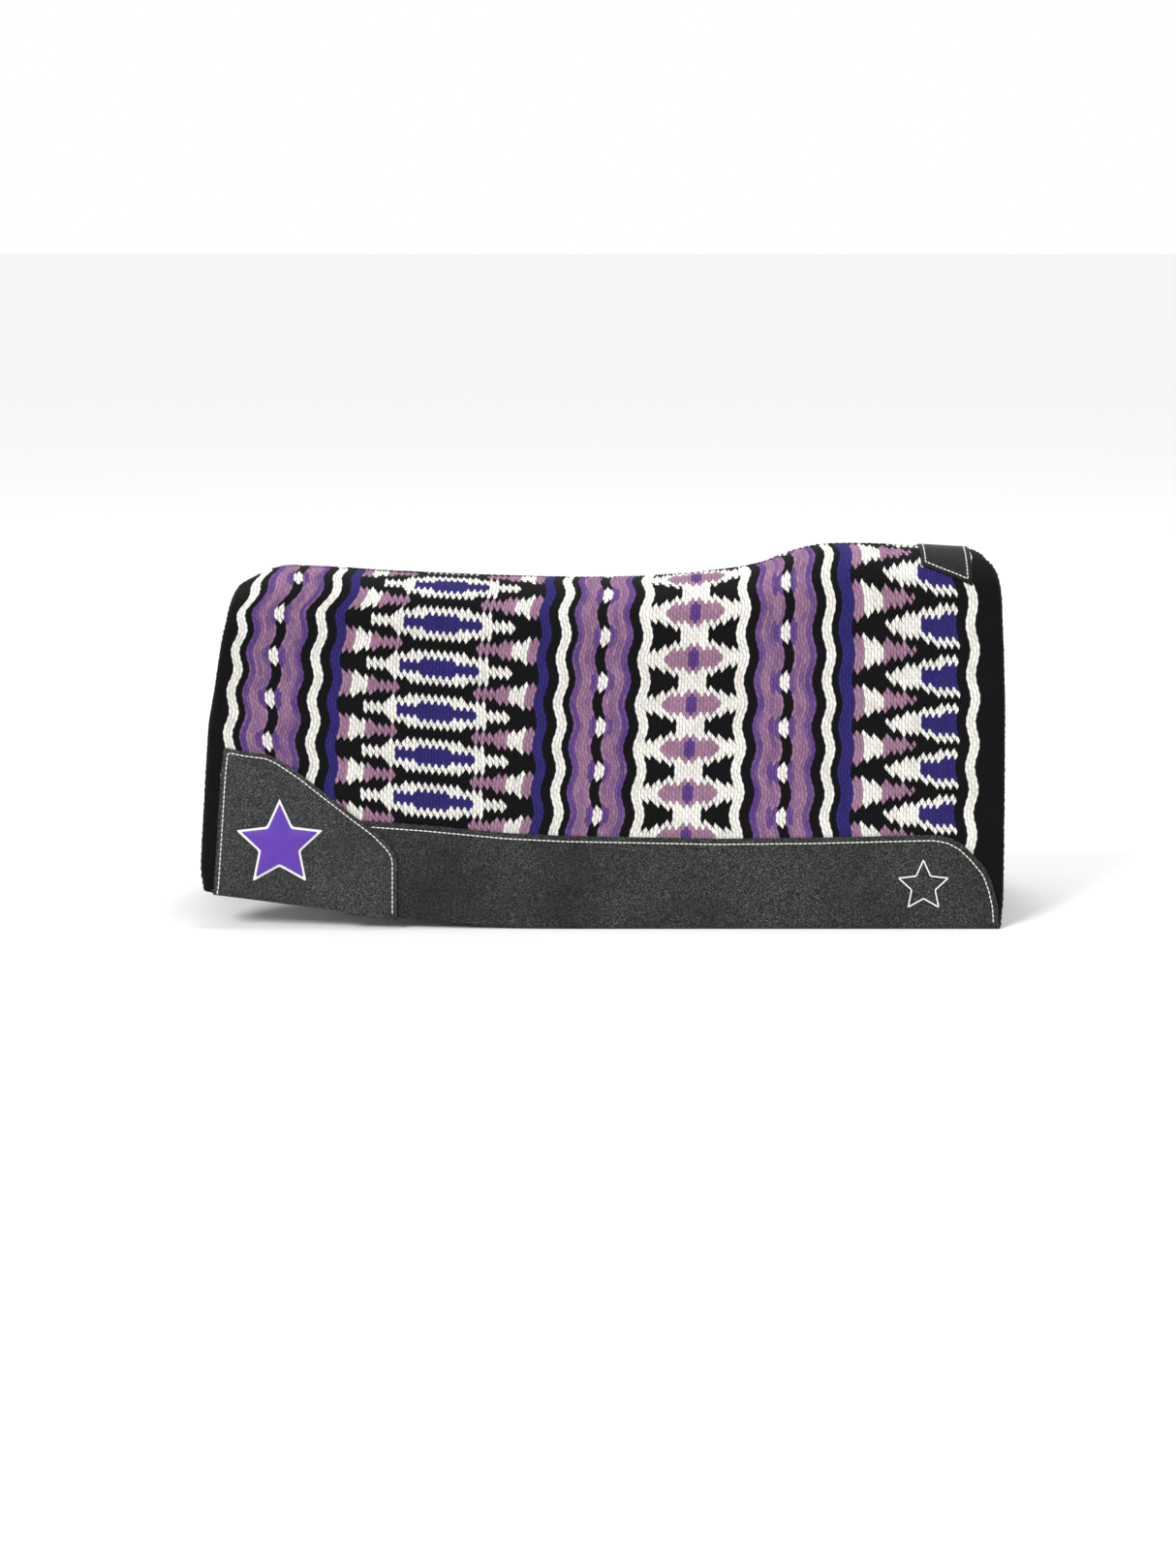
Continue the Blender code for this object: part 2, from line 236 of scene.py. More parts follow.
def from_grid(name, points):
    """Mesh object from a grid of points, rows by columns. A primitive grid is added and laid on them."""
    rows, columns = points.shape[:2]
    bpy.ops.mesh.primitive_grid_add(x_subdivisions=columns - 1, y_subdivisions=rows - 1, size=2.0)
    obj = bpy.context.object
    obj.name = obj.data.name = name
    obj.data.vertices.foreach_set("co", points.reshape(-1).astype(np.float32))
    obj.data.update()
    obj.select_set(False)
    return obj


def face_outwards(obj):
    """Recalculate the normals of a closed mesh, and turn it right side out."""
    bm = bmesh.new()
    bm.from_mesh(obj.data)
    bmesh.ops.recalc_face_normals(bm, faces=bm.faces)
    if bm.calc_volume(signed=True) < 0:
        bmesh.ops.reverse_faces(bm, faces=bm.faces)
    bm.to_mesh(obj.data)
    bm.free()


def close_between(outer, inner):
    """Join two open grids that face each other, and bridge their borders into one closed shell."""
    bpy.ops.object.select_all(action="DESELECT")
    outer.select_set(True)
    inner.select_set(True)
    bpy.context.view_layer.objects.active = outer
    bpy.ops.object.join()
    bpy.ops.object.mode_set(mode="EDIT")
    bpy.ops.mesh.select_mode(type="EDGE")
    bpy.ops.mesh.select_all(action="DESELECT")
    bpy.ops.mesh.select_non_manifold(extend=False, use_wire=False, use_boundary=True,
                                     use_multi_face=False, use_non_contiguous=False, use_verts=False)
    bpy.ops.mesh.mark_sharp()
    bpy.ops.mesh.bridge_edge_loops()
    bpy.ops.object.mode_set(mode="OBJECT")
    bpy.ops.object.select_all(action="DESELECT")
    face_outwards(outer)
    outer.data.shade_smooth()
    return outer


YARN = 0.003308              # width of one yarn
BEADS = 50                   # beads from the hem to the ridge
PERIOD = 6                   # beads in one repeat of the pattern
CORNER = 0.006               # radius at which the blanket turns down over its ends
REAR_YARNS, FRONT_YARNS = 14, 16   # yarns outside the first and the last white stripe
STRIPE_ONE, STRIPE_LAST = -0.3728, 0.3748

# Yarns from the rear edge to the front edge: (kind, count, bead at which the repeat is centred).
SETT = (
    ("black", 12, 0), ("white", 3, 0), ("black", 2, 0), ("purple band", 17, 1.0), ("black", 3, 0),
    ("white", 3, 0), ("black", 3, 0), ("indigo", 3, 0), ("lozenges", 60, 4.0), ("indigo", 3, 0),
    ("black", 3, 0), ("white", 3, 0), ("black", 2, 0), ("purple band", 17, 5.9), ("black", 3, 0),
    ("white", 3, 0), ("diamonds", 27, 0.0), ("white", 3, 0), ("black", 3, 0),
    ("purple band", 18, 5.5), ("black", 3, 0), ("white", 3, 0), ("black", 2, 0), ("indigo", 4, 0),
    ("half lozenges", 32, 2.7), ("black", 3, 0), ("white", 3, 0), ("black", 15, 0),
)
YARNS = sum(band[1] for band in SETT)

# Pattern motifs in millimetres: (from, to, ((half height, colour), ...)), smallest height first.
LOZENGE = (
    (-72.5, -50.8, ((7.2, "white"),)), (-50.8, -38.8, ((12.4, "white"),)),
    (-38.8, -28.4, ((5.6, "indigo"), (11.9, "white"))),
    (-28.4, -14.9, ((7.0, "indigo"), (18.3, "white"))),
    (-14.9, 14.9, ((10.2, "indigo"), (18.3, "white"))),
    (14.9, 26.9, ((6.3, "indigo"), (17.2, "white"))),
    (26.9, 38.8, ((5.9, "indigo"), (12.3, "white"))),
    (38.8, 50.8, ((11.2, "white"),)), (50.8, 71.7, ((6.7, "white"),)),
)
BESIDE_LOZENGE = (
    (-99.4, -88.9, ((14.2, "mauve"),)), (-88.9, -80.7, ((14.2, "white"),)),
    (-80.7, -73.2, ((9.0, "white"),)), (-73.2, -61.3, ((9.8, "mauve"),)),
    (-61.3, -40.3, ((5.4, "mauve"),)),
    (37.4, 61.3, ((5.6, "mauve"),)), (61.3, 71.7, ((10.3, "mauve"),)), (71.7, 82.2, ((9.4, "white"),)),
    (82.2, 90.4, ((14.6, "white"),)), (90.4, 100.0, ((14.6, "mauve"),)),
)
HALF_LOZENGE = (
    (-21.0, -12.0, ((4.6, "white"),)), (-12.0, -2.0, ((7.6, "white"),)),
    (-2.0, 7.0, ((10.2, "white"),)), (7.0, 15.0, ((11.6, "white"),)),
    (15.0, 23.0, ((7.0, "indigo"), (14.0, "white"))),
    (23.0, 31.0, ((8.0, "indigo"), (15.6, "white"))),
    (31.0, 39.0, ((9.0, "indigo"), (17.2, "white"))),
    (39.0, 53.1, ((11.5, "indigo"), (18.4, "white"))),
)
BESIDE_HALF = (
    (-52.9, -42.7, ((16.7, "mauve"),)), (-42.7, -36.0, ((14.6, "white"),)),
    (-36.0, -29.5, ((11.2, "white"),)), (-29.5, -22.6, ((9.6, "white"),)),
    (-22.6, -15.5, ((11.4, "mauve"),)), (-15.5, -8.0, ((8.8, "mauve"),)),
    (-8.0, 1.0, ((6.4, "mauve"),)), (1.0, 11.0, ((4.2, "mauve"),)),
)
DIAMOND = (
    (-1.7, 1.7, ((8.0, "purple"), (12.5, "mauve"), (30.0, "white"))),
    (-5.2, 5.2, ((5.0, "purple"), (12.5, "mauve"), (30.0, "white"))),
    (-9.0, 9.0, ((11.5, "mauve"), (30.0, "white"))), (-14.5, 14.5, ((8.5, "mauve"), (30.0, "white"))),
    (-20.0, 20.0, ((8.0, "mauve"), (16.7, "white"))), (-28.0, 28.0, ((4.5, "mauve"), (14.5, "white"))),
    (-34.0, 34.0, ((11.5, "white"),)), (-45.0, 45.0, ((7.5, "white"),)),
)
BEAD_MM = 7.4                # length of a bead in the motifs
EDGE_MM = 7.5                # width of the purple band's purple edges
HALO_MM, HALO_LONG_MM = 12.0, 9.0    # purple around a white dash: across it and along it
DASH_MM, DASH_SIDE_MM = 10.5, 8.5    # half length of a white dash: its middle yarn and its sides
YARN_COLOURS = {
    "black": srgb(15, 15, 17), "white": srgb(234, 231, 224), "purple": srgb(89, 62, 130),
    "mauve": srgb(156, 119, 143), "indigo": srgb(48, 41, 107),
}


def in_motif(motif, across, away):
    """Colour of the motif at this distance across its band and away from its middle, in millimetres."""
    for low, high, heights in motif:
        if low <= across < high:
            for height, colour in heights:
                if abs(away) < height:
                    return colour
    return None


def from_middle(bead, middle):
    """Distance of a bead from the nearest repeat of the motif, in millimetres."""
    return ((bead - middle + PERIOD / 2) % PERIOD - PERIOD / 2) * BEAD_MM


def purple_band(across, width, bead, middle, chance):
    """Colour of a bead, and the share of mauve dye in it. Purple edges stand round mauve, with a broken
    line of white and black beads down the middle. The dye takes unevenly along a yarn, by chance."""
    from_dash = abs(from_middle(bead, middle + PERIOD / 2))
    even = round(width / YARN / 1000) % 2 == 0
    off_line = abs(across / YARN / 1000 - (0.5 if even else 0.0))
    if off_line < 0.6:
        return ("white" if from_dash < DASH_MM else "black"), 0.0
    if off_line < 1.5:
        return ("white" if from_dash < DASH_SIDE_MM else "black"), 0.0
    edge = abs(across) > width / 2 - EDGE_MM or (abs(across) < HALO_MM and from_dash < HALO_LONG_MM)
    return "purple", (0.5 * chance ** 2 if edge else 1.0 - 0.8 * chance ** 1.6)


def yarn_colour(kind, across, width, bead, middle, chance):
    """Colour of one bead of a band of the sett, and the share of mauve dye in it."""
    if kind == "purple band":
        return purple_band(across, width, bead, middle, chance)
    found = None
    if kind == "lozenges":
        found = in_motif(LOZENGE, across, from_middle(bead, middle))
        found = found or in_motif(BESIDE_LOZENGE, across, from_middle(bead, middle + PERIOD / 2))
    elif kind == "half lozenges":
        found = in_motif(HALF_LOZENGE, across, from_middle(bead, middle))
        found = found or in_motif(BESIDE_HALF, across, from_middle(bead, middle + PERIOD / 2))
    elif kind == "diamonds":
        found = in_motif(DIAMOND, across, from_middle(bead, middle))
    elif kind in YARN_COLOURS:
        found = kind
    return found or "black", 0.0


DRIFT_BEADS = 3              # beads over which the dye's chance drifts along a yarn
DRIFT_SHARE = 0.65           # how much of the chance drifts; the rest is each bead's own
TONE, TINT = 0.16, 0.05      # range of a bead's brightness and of its hue


def bead_colours(side, seed):
    """Colours of all beads, yarns by half beads, so that each bead fills two entries."""
    pick = np.random.RandomState(seed)
    colours = np.zeros((YARNS, 2 * BEADS, 4), np.float32)
    mauve = np.array(YARN_COLOURS["mauve"])
    drift_at = np.arange(0, BEADS + DRIFT_BEADS + 1, DRIFT_BEADS)
    yarn = 0
    for kind, count, middle in SETT:
        for index in range(count):
            across = (index + 0.5 - count / 2) * YARN * 1000
            shift = yarn % 2
            runs = np.interp(np.arange(BEADS + 1), drift_at, pick.rand(len(drift_at)))
            for bead in range(BEADS + shift):
                centre = bead + 0.5 * (1 - shift)
                row = centre if side < 0 else 2 * BEADS - centre
                chance = DRIFT_SHARE * runs[bead] + (1 - DRIFT_SHARE) * pick.rand()
                name, share = yarn_colour(kind, across, count * YARN * 1000, row, middle, chance)
                tone = 1.0 + TONE * (pick.rand() - 0.5)
                tint = 1.0 + TINT * (pick.rand(3) - 0.5)
                colour = np.array(YARN_COLOURS[name]) * (1 - share) + mauve * share
                colour[:3] *= tone * tint
                start = 2 * bead - shift
                colours[yarn, max(start, 0):start + 2] = np.clip(colour, 0.0, 1.0)
            yarn += 1
    return colours


# Lean of the yarns: offset along x by height up the flap, for yarns that stand at these places.
LEAN_AT = (STRIPE_ONE, -0.2899, -0.1679, -0.0449, 0.0410, 0.1366, 0.2284, STRIPE_LAST)
LEAN_UP = (0.0966, 0.1550, 0.2235, 0.2850, 0.3210, 0.3520)
LEAN_MM = (
    (-6.8, -3.9, 0.0, 6.2, 11.7, 31.2), (-2.9, -2.1, 0.0, 4.7, 9.8, 24.4),
    (-4.9, -2.9, 0.0, 3.9, 7.8, 15.6), (-4.4, -1.5, 0.0, 3.9, 5.9, 9.8),
    (-5.6, -2.9, 0.0, 3.6, 4.9, 7.3), (-4.9, -2.7, 0.0, 2.4, 3.9, 5.4),
    (-2.9, -1.3, 0.0, 0.0, 0.0, -1.0), (-3.4, -1.5, 0.0, -0.5, -1.0, -4.9),
)
# Sideways waves of the yarns: where they stand, amplitude in millimetres, bead of the forward bulge.
WAVES = (
    (-0.398, 0.0, 1.4), (STRIPE_ONE, 2.6, 1.4), (-0.2899, 2.6, 1.4), (-0.1679, 0.0, 1.4),
    (-0.0449, 2.5, 3.3), (-0.0022, 2.4, 3.3), (0.0410, 2.6, 3.0), (0.0888, 0.0, 3.0), (0.1366, 2.6, 0.0),
    (0.1850, 2.4, 5.5), (0.2284, 2.5, 5.5), (0.3000, 0.5, 5.5), (STRIPE_LAST, 2.4, 0.0), (0.405, 0.0, 0.0),
)
# Length of a bead down the straight part of the drop, by x, in millimetres.
BEAD_LENGTHS = (
    (-0.332, 7.25), (-0.236, 7.40), (-0.171, 7.44), (0.0, 7.44), (0.089, 7.45), (0.182, 7.55),
    (0.276, 7.65),
)
STRAIGHT_BEADS = 30          # beads from the hem that keep their length; the rest take up the difference


def up_to_bead(x, bead):
    """Distance along the cloth from the hem to a bead. The beads shorten or stretch near the ridge."""
    length = np.interp(x, [row[0] for row in BEAD_LENGTHS], [row[1] for row in BEAD_LENGTHS]) / 1000
    spare = drop(x) - BEADS * length
    taken_up = np.clip((bead - STRAIGHT_BEADS) / (BEADS - STRAIGHT_BEADS), 0.0, 1.0) ** 1.5
    return length * bead + spare * taken_up


def yarn_x(place, bead, side):
    """Where a yarn runs at this bead: its place, its lean and its wave."""
    up = up_to_bead(place, bead)
    flat = flap_top(place) - flap_bottom(place, 0.0)
    angle = np.clip((up - flat) / fold(place)[0], 0.0, ARC)
    seen = flap_bottom(place, 0.0) + np.minimum(up, flat) + fold(place)[0] * np.sin(angle)
    by_place = [np.interp(seen, LEAN_UP, row) for row in LEAN_MM]
    lean = np.zeros_like(place)
    for index in range(len(LEAN_AT) - 1):
        low, high = LEAN_AT[index], LEAN_AT[index + 1]
        share = np.clip((place - low) / (high - low), 0.0, 1.0)
        inside = (place >= low) & (place <= high)
        mixed = by_place[index] * (1 - share) + by_place[index + 1] * share
        lean = np.where(inside, mixed, lean)
    lean = np.where(place > LEAN_AT[-1], by_place[-1], lean)
    lean = np.where(place < LEAN_AT[0], by_place[0], lean)
    knots = [row[0] for row in WAVES]
    turn = 2 * math.pi / PERIOD
    along_wave = np.interp(place, knots, [row[1] * math.cos(turn * row[2]) for row in WAVES])
    across_wave = np.interp(place, knots, [row[1] * math.sin(turn * row[2]) for row in WAVES])
    row = bead if side < 0 else 2 * BEADS - bead
    wave = along_wave * np.cos(turn * row) + across_wave * np.sin(turn * row)
    return place + (lean + wave) / 1000


BULGE = 0.10                 # how far a bead's middle pushes into its neighbours, in yarn widths
PINCH = 0.24                 # the same where the next bead down the yarn has another colour
CREST, TIP, VALLEY = 0.0011, 0.0003, -0.0012   # height of a bead's middle, its tips and its sides
UNEVEN = 0.00012             # unevenness of those heights
WANDER = 0.04                # how far a bead's middle strays sideways, in yarn widths
EDGE_OFFSET = 0.2            # how far the outermost stripes start inside their yarn, in yarn widths
BLACK_BELOW = 0.06           # sum of a colour's three parts below which the yarn counts as black
STRONG_CHANGE = 0.8          # change of brightness, as a logarithm, that shows the beads' points


def pinched_tips(colours, only_black):
    """Whether each yarn changes colour strongly at each half bead, so that its beads come to a point."""
    light = colours[:, :, :3].sum(axis=2)
    black = light < BLACK_BELOW
    apart = black[:, 1:] != black[:, :-1]
    if not only_black:
        apart |= np.abs(np.diff(np.log(light + 0.01), axis=1)) > STRONG_CHANGE
    tips = np.zeros((len(colours), 2 * BEADS + 1), bool)
    tips[:, 1:-1] = apart
    return tips


def woven_points(side, seed, colours):
    """Grid of points over the blanket's outer face: two per yarn and two per bead."""
    pick = np.random.RandomState(seed)
    line, row = np.meshgrid(np.arange(2 * YARNS + 1) / 2, np.arange(2 * BEADS + 1) / 2)
    is_crest = (line * 2) % 2 == 1
    at_row = np.rint(row * 2).astype(int)
    half_row = at_row % 2 == 1
    nearest = np.rint(line).astype(int)
    rear_yarn = np.clip(nearest - 1, 0, YARNS - 1)
    front_yarn = np.clip(nearest, 0, YARNS - 1)
    rear_wide = (nearest % 2 == 1) == half_row
    tips = pinched_tips(colours, only_black=False)
    pinched = np.where(rear_wide, tips[front_yarn, at_row], tips[rear_yarn, at_row])
    push = np.where(pinched, PINCH, BULGE)
    shift = np.where(is_crest, 0.0, np.where(rear_wide, push, -push))
    shift[:, 0] = shift[:, -1] = 0.0
    at_middle = (np.floor(line).astype(int) % 2 == 0) == half_row
    relief = np.where(is_crest, np.where(at_middle, CREST, TIP), VALLEY)
    relief = relief + UNEVEN * pick.randn(*relief.shape)
    relief[:, 0] = relief[:, -1] = 0.0
    place = line + shift + WANDER * pick.randn(*line.shape) * is_crest

    body = STRIPE_ONE + (place - REAR_YARNS + EDGE_OFFSET) * YARN
    x = yarn_x(np.clip(body, STRIPE_ONE, STRIPE_LAST), row, side)
    out = relief.copy()
    reach = math.pi / 2 * CORNER
    rear_count, front_count = REAR_YARNS - EDGE_OFFSET, FRONT_YARNS + EDGE_OFFSET
    for column, stripe, beyond, count in (
            (REAR, STRIPE_ONE, rear_count - place, rear_count),
            (FRONT, STRIPE_LAST, place - (YARNS - front_count), front_count)):
        back = -1.0 if column == REAR else 1.0
        stripe_place = np.full_like(row, stripe)
        end = end_of_pad(stripe, up_to_bead(stripe_place, row), column)
        start = yarn_x(stripe_place, row, side)
        face = np.abs(end - start) - CORNER
        depth = FULL_T - CORNER
        walked = np.clip(beyond / count, 0.0, 1.0) * (face + reach + depth)
        turn = np.clip((walked - face) / CORNER, 0.0, math.pi / 2)
        straight = np.clip(walked - face - reach, 0.0, None)
        edge_x = start + back * (np.minimum(walked, face) + (CORNER + relief) * np.sin(turn))
        edge_out = -CORNER * (1 - np.cos(turn)) - straight + relief * np.cos(turn)
        x = np.where(beyond > 0, edge_x, x)
        out = np.where(beyond > 0, edge_out, out)
    return on_drape(side, x, up_to_bead(x, row), out)


LINING_ROWS, LINING_COLUMNS = 41, 60
TURNED_IN = (-FULL_T, -0.016, -0.0075)   # depths down the inside of the turned-down ends


def lining_points(side):
    """Grid of points over the blanket's inner face, inside its turned-down ends."""
    share = np.linspace(0.0, 1.0, LINING_ROWS)
    rear, front = ends_inside(share, TOP_T)
    columns = [(0.0, rise) for rise in TURNED_IN]
    columns += [(part, -TOP_T) for part in np.linspace(0.003, 0.997, LINING_COLUMNS)]
    columns += [(1.0, rise) for rise in reversed(TURNED_IN)]
    part, rise = np.array(columns).T[:, None, :]
    x = rear + (front - rear) * part
    return on_drape(side, x, share[:, None] * drop(x), rise + 0 * x)


def yarn_layer(obj, colours):
    """Lay each bead's colour on its faces, its alpha 0 where the bead ends in a point on black, and a UV
    map with a whole number at each bead's sides and tips."""
    lines = 2 * YARNS
    mesh = obj.data
    colour = mesh.attributes.new("yarn_colour", "FLOAT_COLOR", "CORNER")
    uv = mesh.uv_layers.active or mesh.uv_layers.new(name="yarn_map")
    uv.name = "yarn_map"
    index = np.zeros(len(mesh.loops), np.int32)
    mesh.loops.foreach_get("vertex_index", index)
    line, row = index % (lines + 1), index // (lines + 1)
    quad = index.reshape(-1, 4)
    low_line, low_row = (quad % (lines + 1)).min(axis=1), (quad // (lines + 1)).min(axis=1)
    per_face = colours[low_line // 2, low_row].copy()
    tips, yarn = pinched_tips(colours, only_black=True), low_line // 2
    tip_row = low_row + (low_row + yarn) % 2
    per_face[:, 3] = np.where(tips[yarn, tip_row], 0.0, 1.0)
    odd_yarn = np.repeat((low_line // 2) % 2, 4)
    colour.data.foreach_set("color", np.repeat(per_face, 4, axis=0).reshape(-1))
    places = np.stack([line / 2, (row + odd_yarn) / 2], axis=-1).astype(np.float32)
    uv.data.foreach_set("uv", places.reshape(-1))


def shader_of(name, **values):
    """New material with a Principled shader: the material, its node tree and the shader. The values
    are the shader's own inputs, with their names in small letters."""
    material = bpy.data.materials.new(name)
    material.use_nodes = True
    tree = material.node_tree
    shader = tree.nodes["Principled BSDF"]
    inputs = {socket.name.lower().replace(" ", "_"): socket for socket in shader.inputs}
    for key, value in values.items():
        inputs[key].default_value = value
    return material, tree, shader


def add_node(tree, kind, values=None, **settings):
    """Add a node with these settings and input values; a value that is a socket is linked."""
    node = tree.nodes.new(kind)
    for key, value in settings.items():
        setattr(node, key, value)
    for key, value in (values or {}).items():
        if isinstance(value, bpy.types.NodeSocket):
            tree.links.new(value, node.inputs[key])
        else:
            node.inputs[key].default_value = value
    return node


def calc(tree, operation, *values):
    """Result of a sum or another operation on these values."""
    return add_node(tree, "ShaderNodeMath", dict(enumerate(values)), operation=operation).outputs[0]


def remap(tree, value, old, new, smooth=False):
    """A value carried over from its old range to a new one, and held at the ends of it."""
    ranges = {"Value": value, "From Min": old[0], "From Max": old[1], "To Min": new[0], "To Max": new[1]}
    kind = "SMOOTHSTEP" if smooth else "LINEAR"
    return add_node(tree, "ShaderNodeMapRange", ranges, interpolation_type=kind).outputs[0]


def noise(tree, where, scale, detail=2.0, roughness=0.5, distortion=0.0):
    """Clouded grey over these coordinates."""
    values = {"Vector": where, "Scale": scale, "Detail": detail, "Roughness": roughness,
              "Distortion": distortion}
    return add_node(tree, "ShaderNodeTexNoise", values).outputs["Fac"]


def waves(tree, where, scale, distortion, bands):
    """Soft stripes over these coordinates."""
    values = {"Vector": where, "Scale": scale, "Distortion": distortion}
    return add_node(tree, "ShaderNodeTexWave", values, bands_direction=bands).outputs["Fac"]


def stretch(tree, where, scale, rotation=(0.0, 0.0, 0.0)):
    """The coordinates turned and scaled."""
    values = {"Vector": where, "Rotation": rotation, "Scale": scale}
    return add_node(tree, "ShaderNodeMapping", values).outputs["Vector"]


def on_object(tree):
    """Coordinates fixed to the object."""
    return add_node(tree, "ShaderNodeTexCoord").outputs["Object"]


def ramp_of(tree, value, stops):
    """Colour by value, between stops: (position, colour)."""
    node = add_node(tree, "ShaderNodeValToRGB", {"Fac": value})
    ramp = node.color_ramp
    while len(ramp.elements) < len(stops):
        ramp.elements.new(1.0)
    for element, (position, colour) in zip(ramp.elements, stops):
        element.position = position
        element.color = colour
    return node.outputs["Color"]


def scaled(tree, colour, factor):
    """A colour made lighter or darker by a factor."""
    values = {0: colour, "Scale": factor}
    return add_node(tree, "ShaderNodeVectorMath", values, operation="SCALE").outputs["Vector"]


def finish_look(tree, shader, colour, height, strength, distance, invert=False):
    """Give the shader its colour, and its relief from a height."""
    tree.links.new(colour, shader.inputs["Base Color"])
    values = {"Height": height, "Strength": strength, "Distance": distance}
    bump = add_node(tree, "ShaderNodeBump", values, invert=invert)
    tree.links.new(bump.outputs["Normal"], shader.inputs["Normal"])


def wool_material():
    """Two-ply wool: each bead's own colour, with painted shade in the gaps beside it, at its tips and
    between plies.
    """
    material, tree, shader = shader_of("woven_wool", roughness=0.95, sheen_weight=0.06,
                                       sheen_roughness=0.5, specular_ior_level=0.12)
    own = add_node(tree, "ShaderNodeVertexColor", layer_name="yarn_colour")
    uv = add_node(tree, "ShaderNodeUVMap", uv_map="yarn_map").outputs["UV"]
    apart = add_node(tree, "ShaderNodeSeparateXYZ", {0: uv})
    beside = calc(tree, "PINGPONG", apart.outputs["X"], 0.5)
    along_bead = calc(tree, "PINGPONG", apart.outputs["Y"], 0.5)
    # Painted shade: darker in the gaps beside each bead and at its tips.
    gap_shade = remap(tree, beside, (0.0, 0.20), (0.50, 1.0), smooth=True)
    tip_shade = remap(tree, along_bead, (0.0, 0.16), (0.82, 1.0), smooth=True)
    # Beside a bead's point on black: near-black, partly the black yarn behind and partly painted shade.
    narrow = remap(tree, along_bead, (0.0, 0.5), (0.50, 0.0))
    past = calc(tree, "SUBTRACT", beside, narrow)
    inside = remap(tree, past, (-0.05, 0.03), (0.06, 1.0), smooth=True)
    pointed = calc(tree, "MAXIMUM", inside, own.outputs["Alpha"])
    slant = stretch(tree, uv, (1.0, 2.2, 1.0), rotation=(0.0, 0.0, 0.9))
    plies = waves(tree, slant, 0.55, 1.2, "X")
    place = on_object(tree)
    strands = noise(tree, stretch(tree, uv, (5.5, 0.9, 1.0)), 1.0, 3.0, 0.65)
    fuzz = noise(tree, place, 900.0, 3.0, 0.6)
    drift = noise(tree, place, 38.0)
    # Painted shade between the plies, with a faint painted highlight on them.
    shade = remap(tree, plies, (0.0, 1.0), (0.90, 1.04))
    streak = remap(tree, strands, (0.3, 0.7), (0.78, 1.16))
    speck = remap(tree, fuzz, (0.3, 0.7), (0.84, 1.12))
    wear = remap(tree, drift, (0.3, 0.7), (0.90, 1.06))
    total = gap_shade
    for factor in (tip_shade, pointed, shade, streak, speck, wear):
        total = calc(tree, "MULTIPLY", total, factor)
    height = calc(tree, "ADD", strands, fuzz)
    finish_look(tree, shader, scaled(tree, own.outputs["Color"], total), height, 0.6, 0.0003)
    return material


WEAVE_SEEDS, DYE_SEEDS = {-1: 11, 1: 12}, {-1: 21, 1: 22}   # by side
wool = wool_material()
for label, side in SIDES:
    colours = bead_colours(side, DYE_SEEDS[side])
    outer = from_grid(label + "_blanket", woven_points(side, WEAVE_SEEDS[side], colours))
    yarn_layer(outer, colours)
    lining = from_grid(label + "_lining", lining_points(side))
    plain = lining.data.attributes.new("yarn_colour", "FLOAT_COLOR", "CORNER")
    plain.data.foreach_set("color", np.tile(YARN_COLOURS["black"], len(lining.data.loops)))
    lining.data.uv_layers.active.name = "yarn_map"
    top = close_between(outer, lining)
    top.data.materials.append(wool)
    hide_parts(label + "_woven_top")
    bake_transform(top)


# ---------------------------------------------------------------------------------------------
# Felt core and underside felt: a thick pressed wool layer that takes up the shock, and a softer
# layer against the horse's back. Both are cut to the drape and lie glued under the blanket.

END_INSET = TOP_T + 0.0016   # where the felts stop, inside the blanket's turned-down ends
FELT_ROWS, FELT_COLUMNS = 61, 141


def felt_points(side, rise, waviness, seed):
    """Grid of points over one face of a felt layer, with a slight unevenness."""
    pick = np.random.RandomState(seed)
    share = np.linspace(0.0, 1.0, FELT_ROWS)
    rear, front = ends_inside(share, END_INSET)
    x = rear + (front - rear) * np.linspace(0.0, 1.0, FELT_COLUMNS)[None, :]
    bumps = waviness * pick.randn(*x.shape)
    bumps[0, :] = bumps[-1, :] = bumps[:, 0] = bumps[:, -1] = 0.0
    return on_drape(side, x, share[:, None] * drop(x), rise + bumps)


def felt_material(name, colour, light):
    """Pressed felt: matted fibres, mottled, with a soft bloom of loose hair."""
    material, tree, shader = shader_of(name, roughness=0.97, sheen_weight=0.25, sheen_roughness=0.6,
                                       specular_ior_level=0.1)
    place = on_object(tree)
    mixed = calc(tree, "MULTIPLY", noise(tree, place, 700.0, 5.0, 0.7, 1.5), noise(tree, place, 90.0, 3.0))
    finish_look(tree, shader, ramp_of(tree, mixed, ((0.12, colour), (0.42, light))), mixed, 0.8, 0.0008)
    return material


core_felt = felt_material("core_felt", srgb(52, 52, 56), srgb(96, 95, 98))
under_felt = felt_material("underside_felt", srgb(22, 22, 24), srgb(58, 57, 60))
FELT_WAVY = 0.00025          # unevenness of the face against the horse
core_high = -TOP_T - GAP
under_high = core_high - CORE_T - GAP
for label, side in SIDES:
    core = close_between(from_grid(label + "_core", felt_points(side, core_high, 0.0, 1)),
                         from_grid(label + "_core_back", felt_points(side, core_high - CORE_T, 0.0, 2)))
    core.data.materials.append(core_felt)
    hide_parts(label + "_felt_core")
    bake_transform(core)
    under = close_between(from_grid(label + "_underside", felt_points(side, under_high, 0.0, 3)),
                          from_grid(label + "_underside_face",
                                    felt_points(side, under_high - UNDER_T, FELT_WAVY, 4)))
    under.data.materials.append(under_felt)
    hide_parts(label + "_underside_felt")
    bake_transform(under)


# ---------------------------------------------------------------------------------------------
# Wear leathers: pebbled cowhide along the bottom edge, wrapped under the hem and turned up behind
# it. A second, shaped leather covers the rear corner and laps over the strip's rear end.

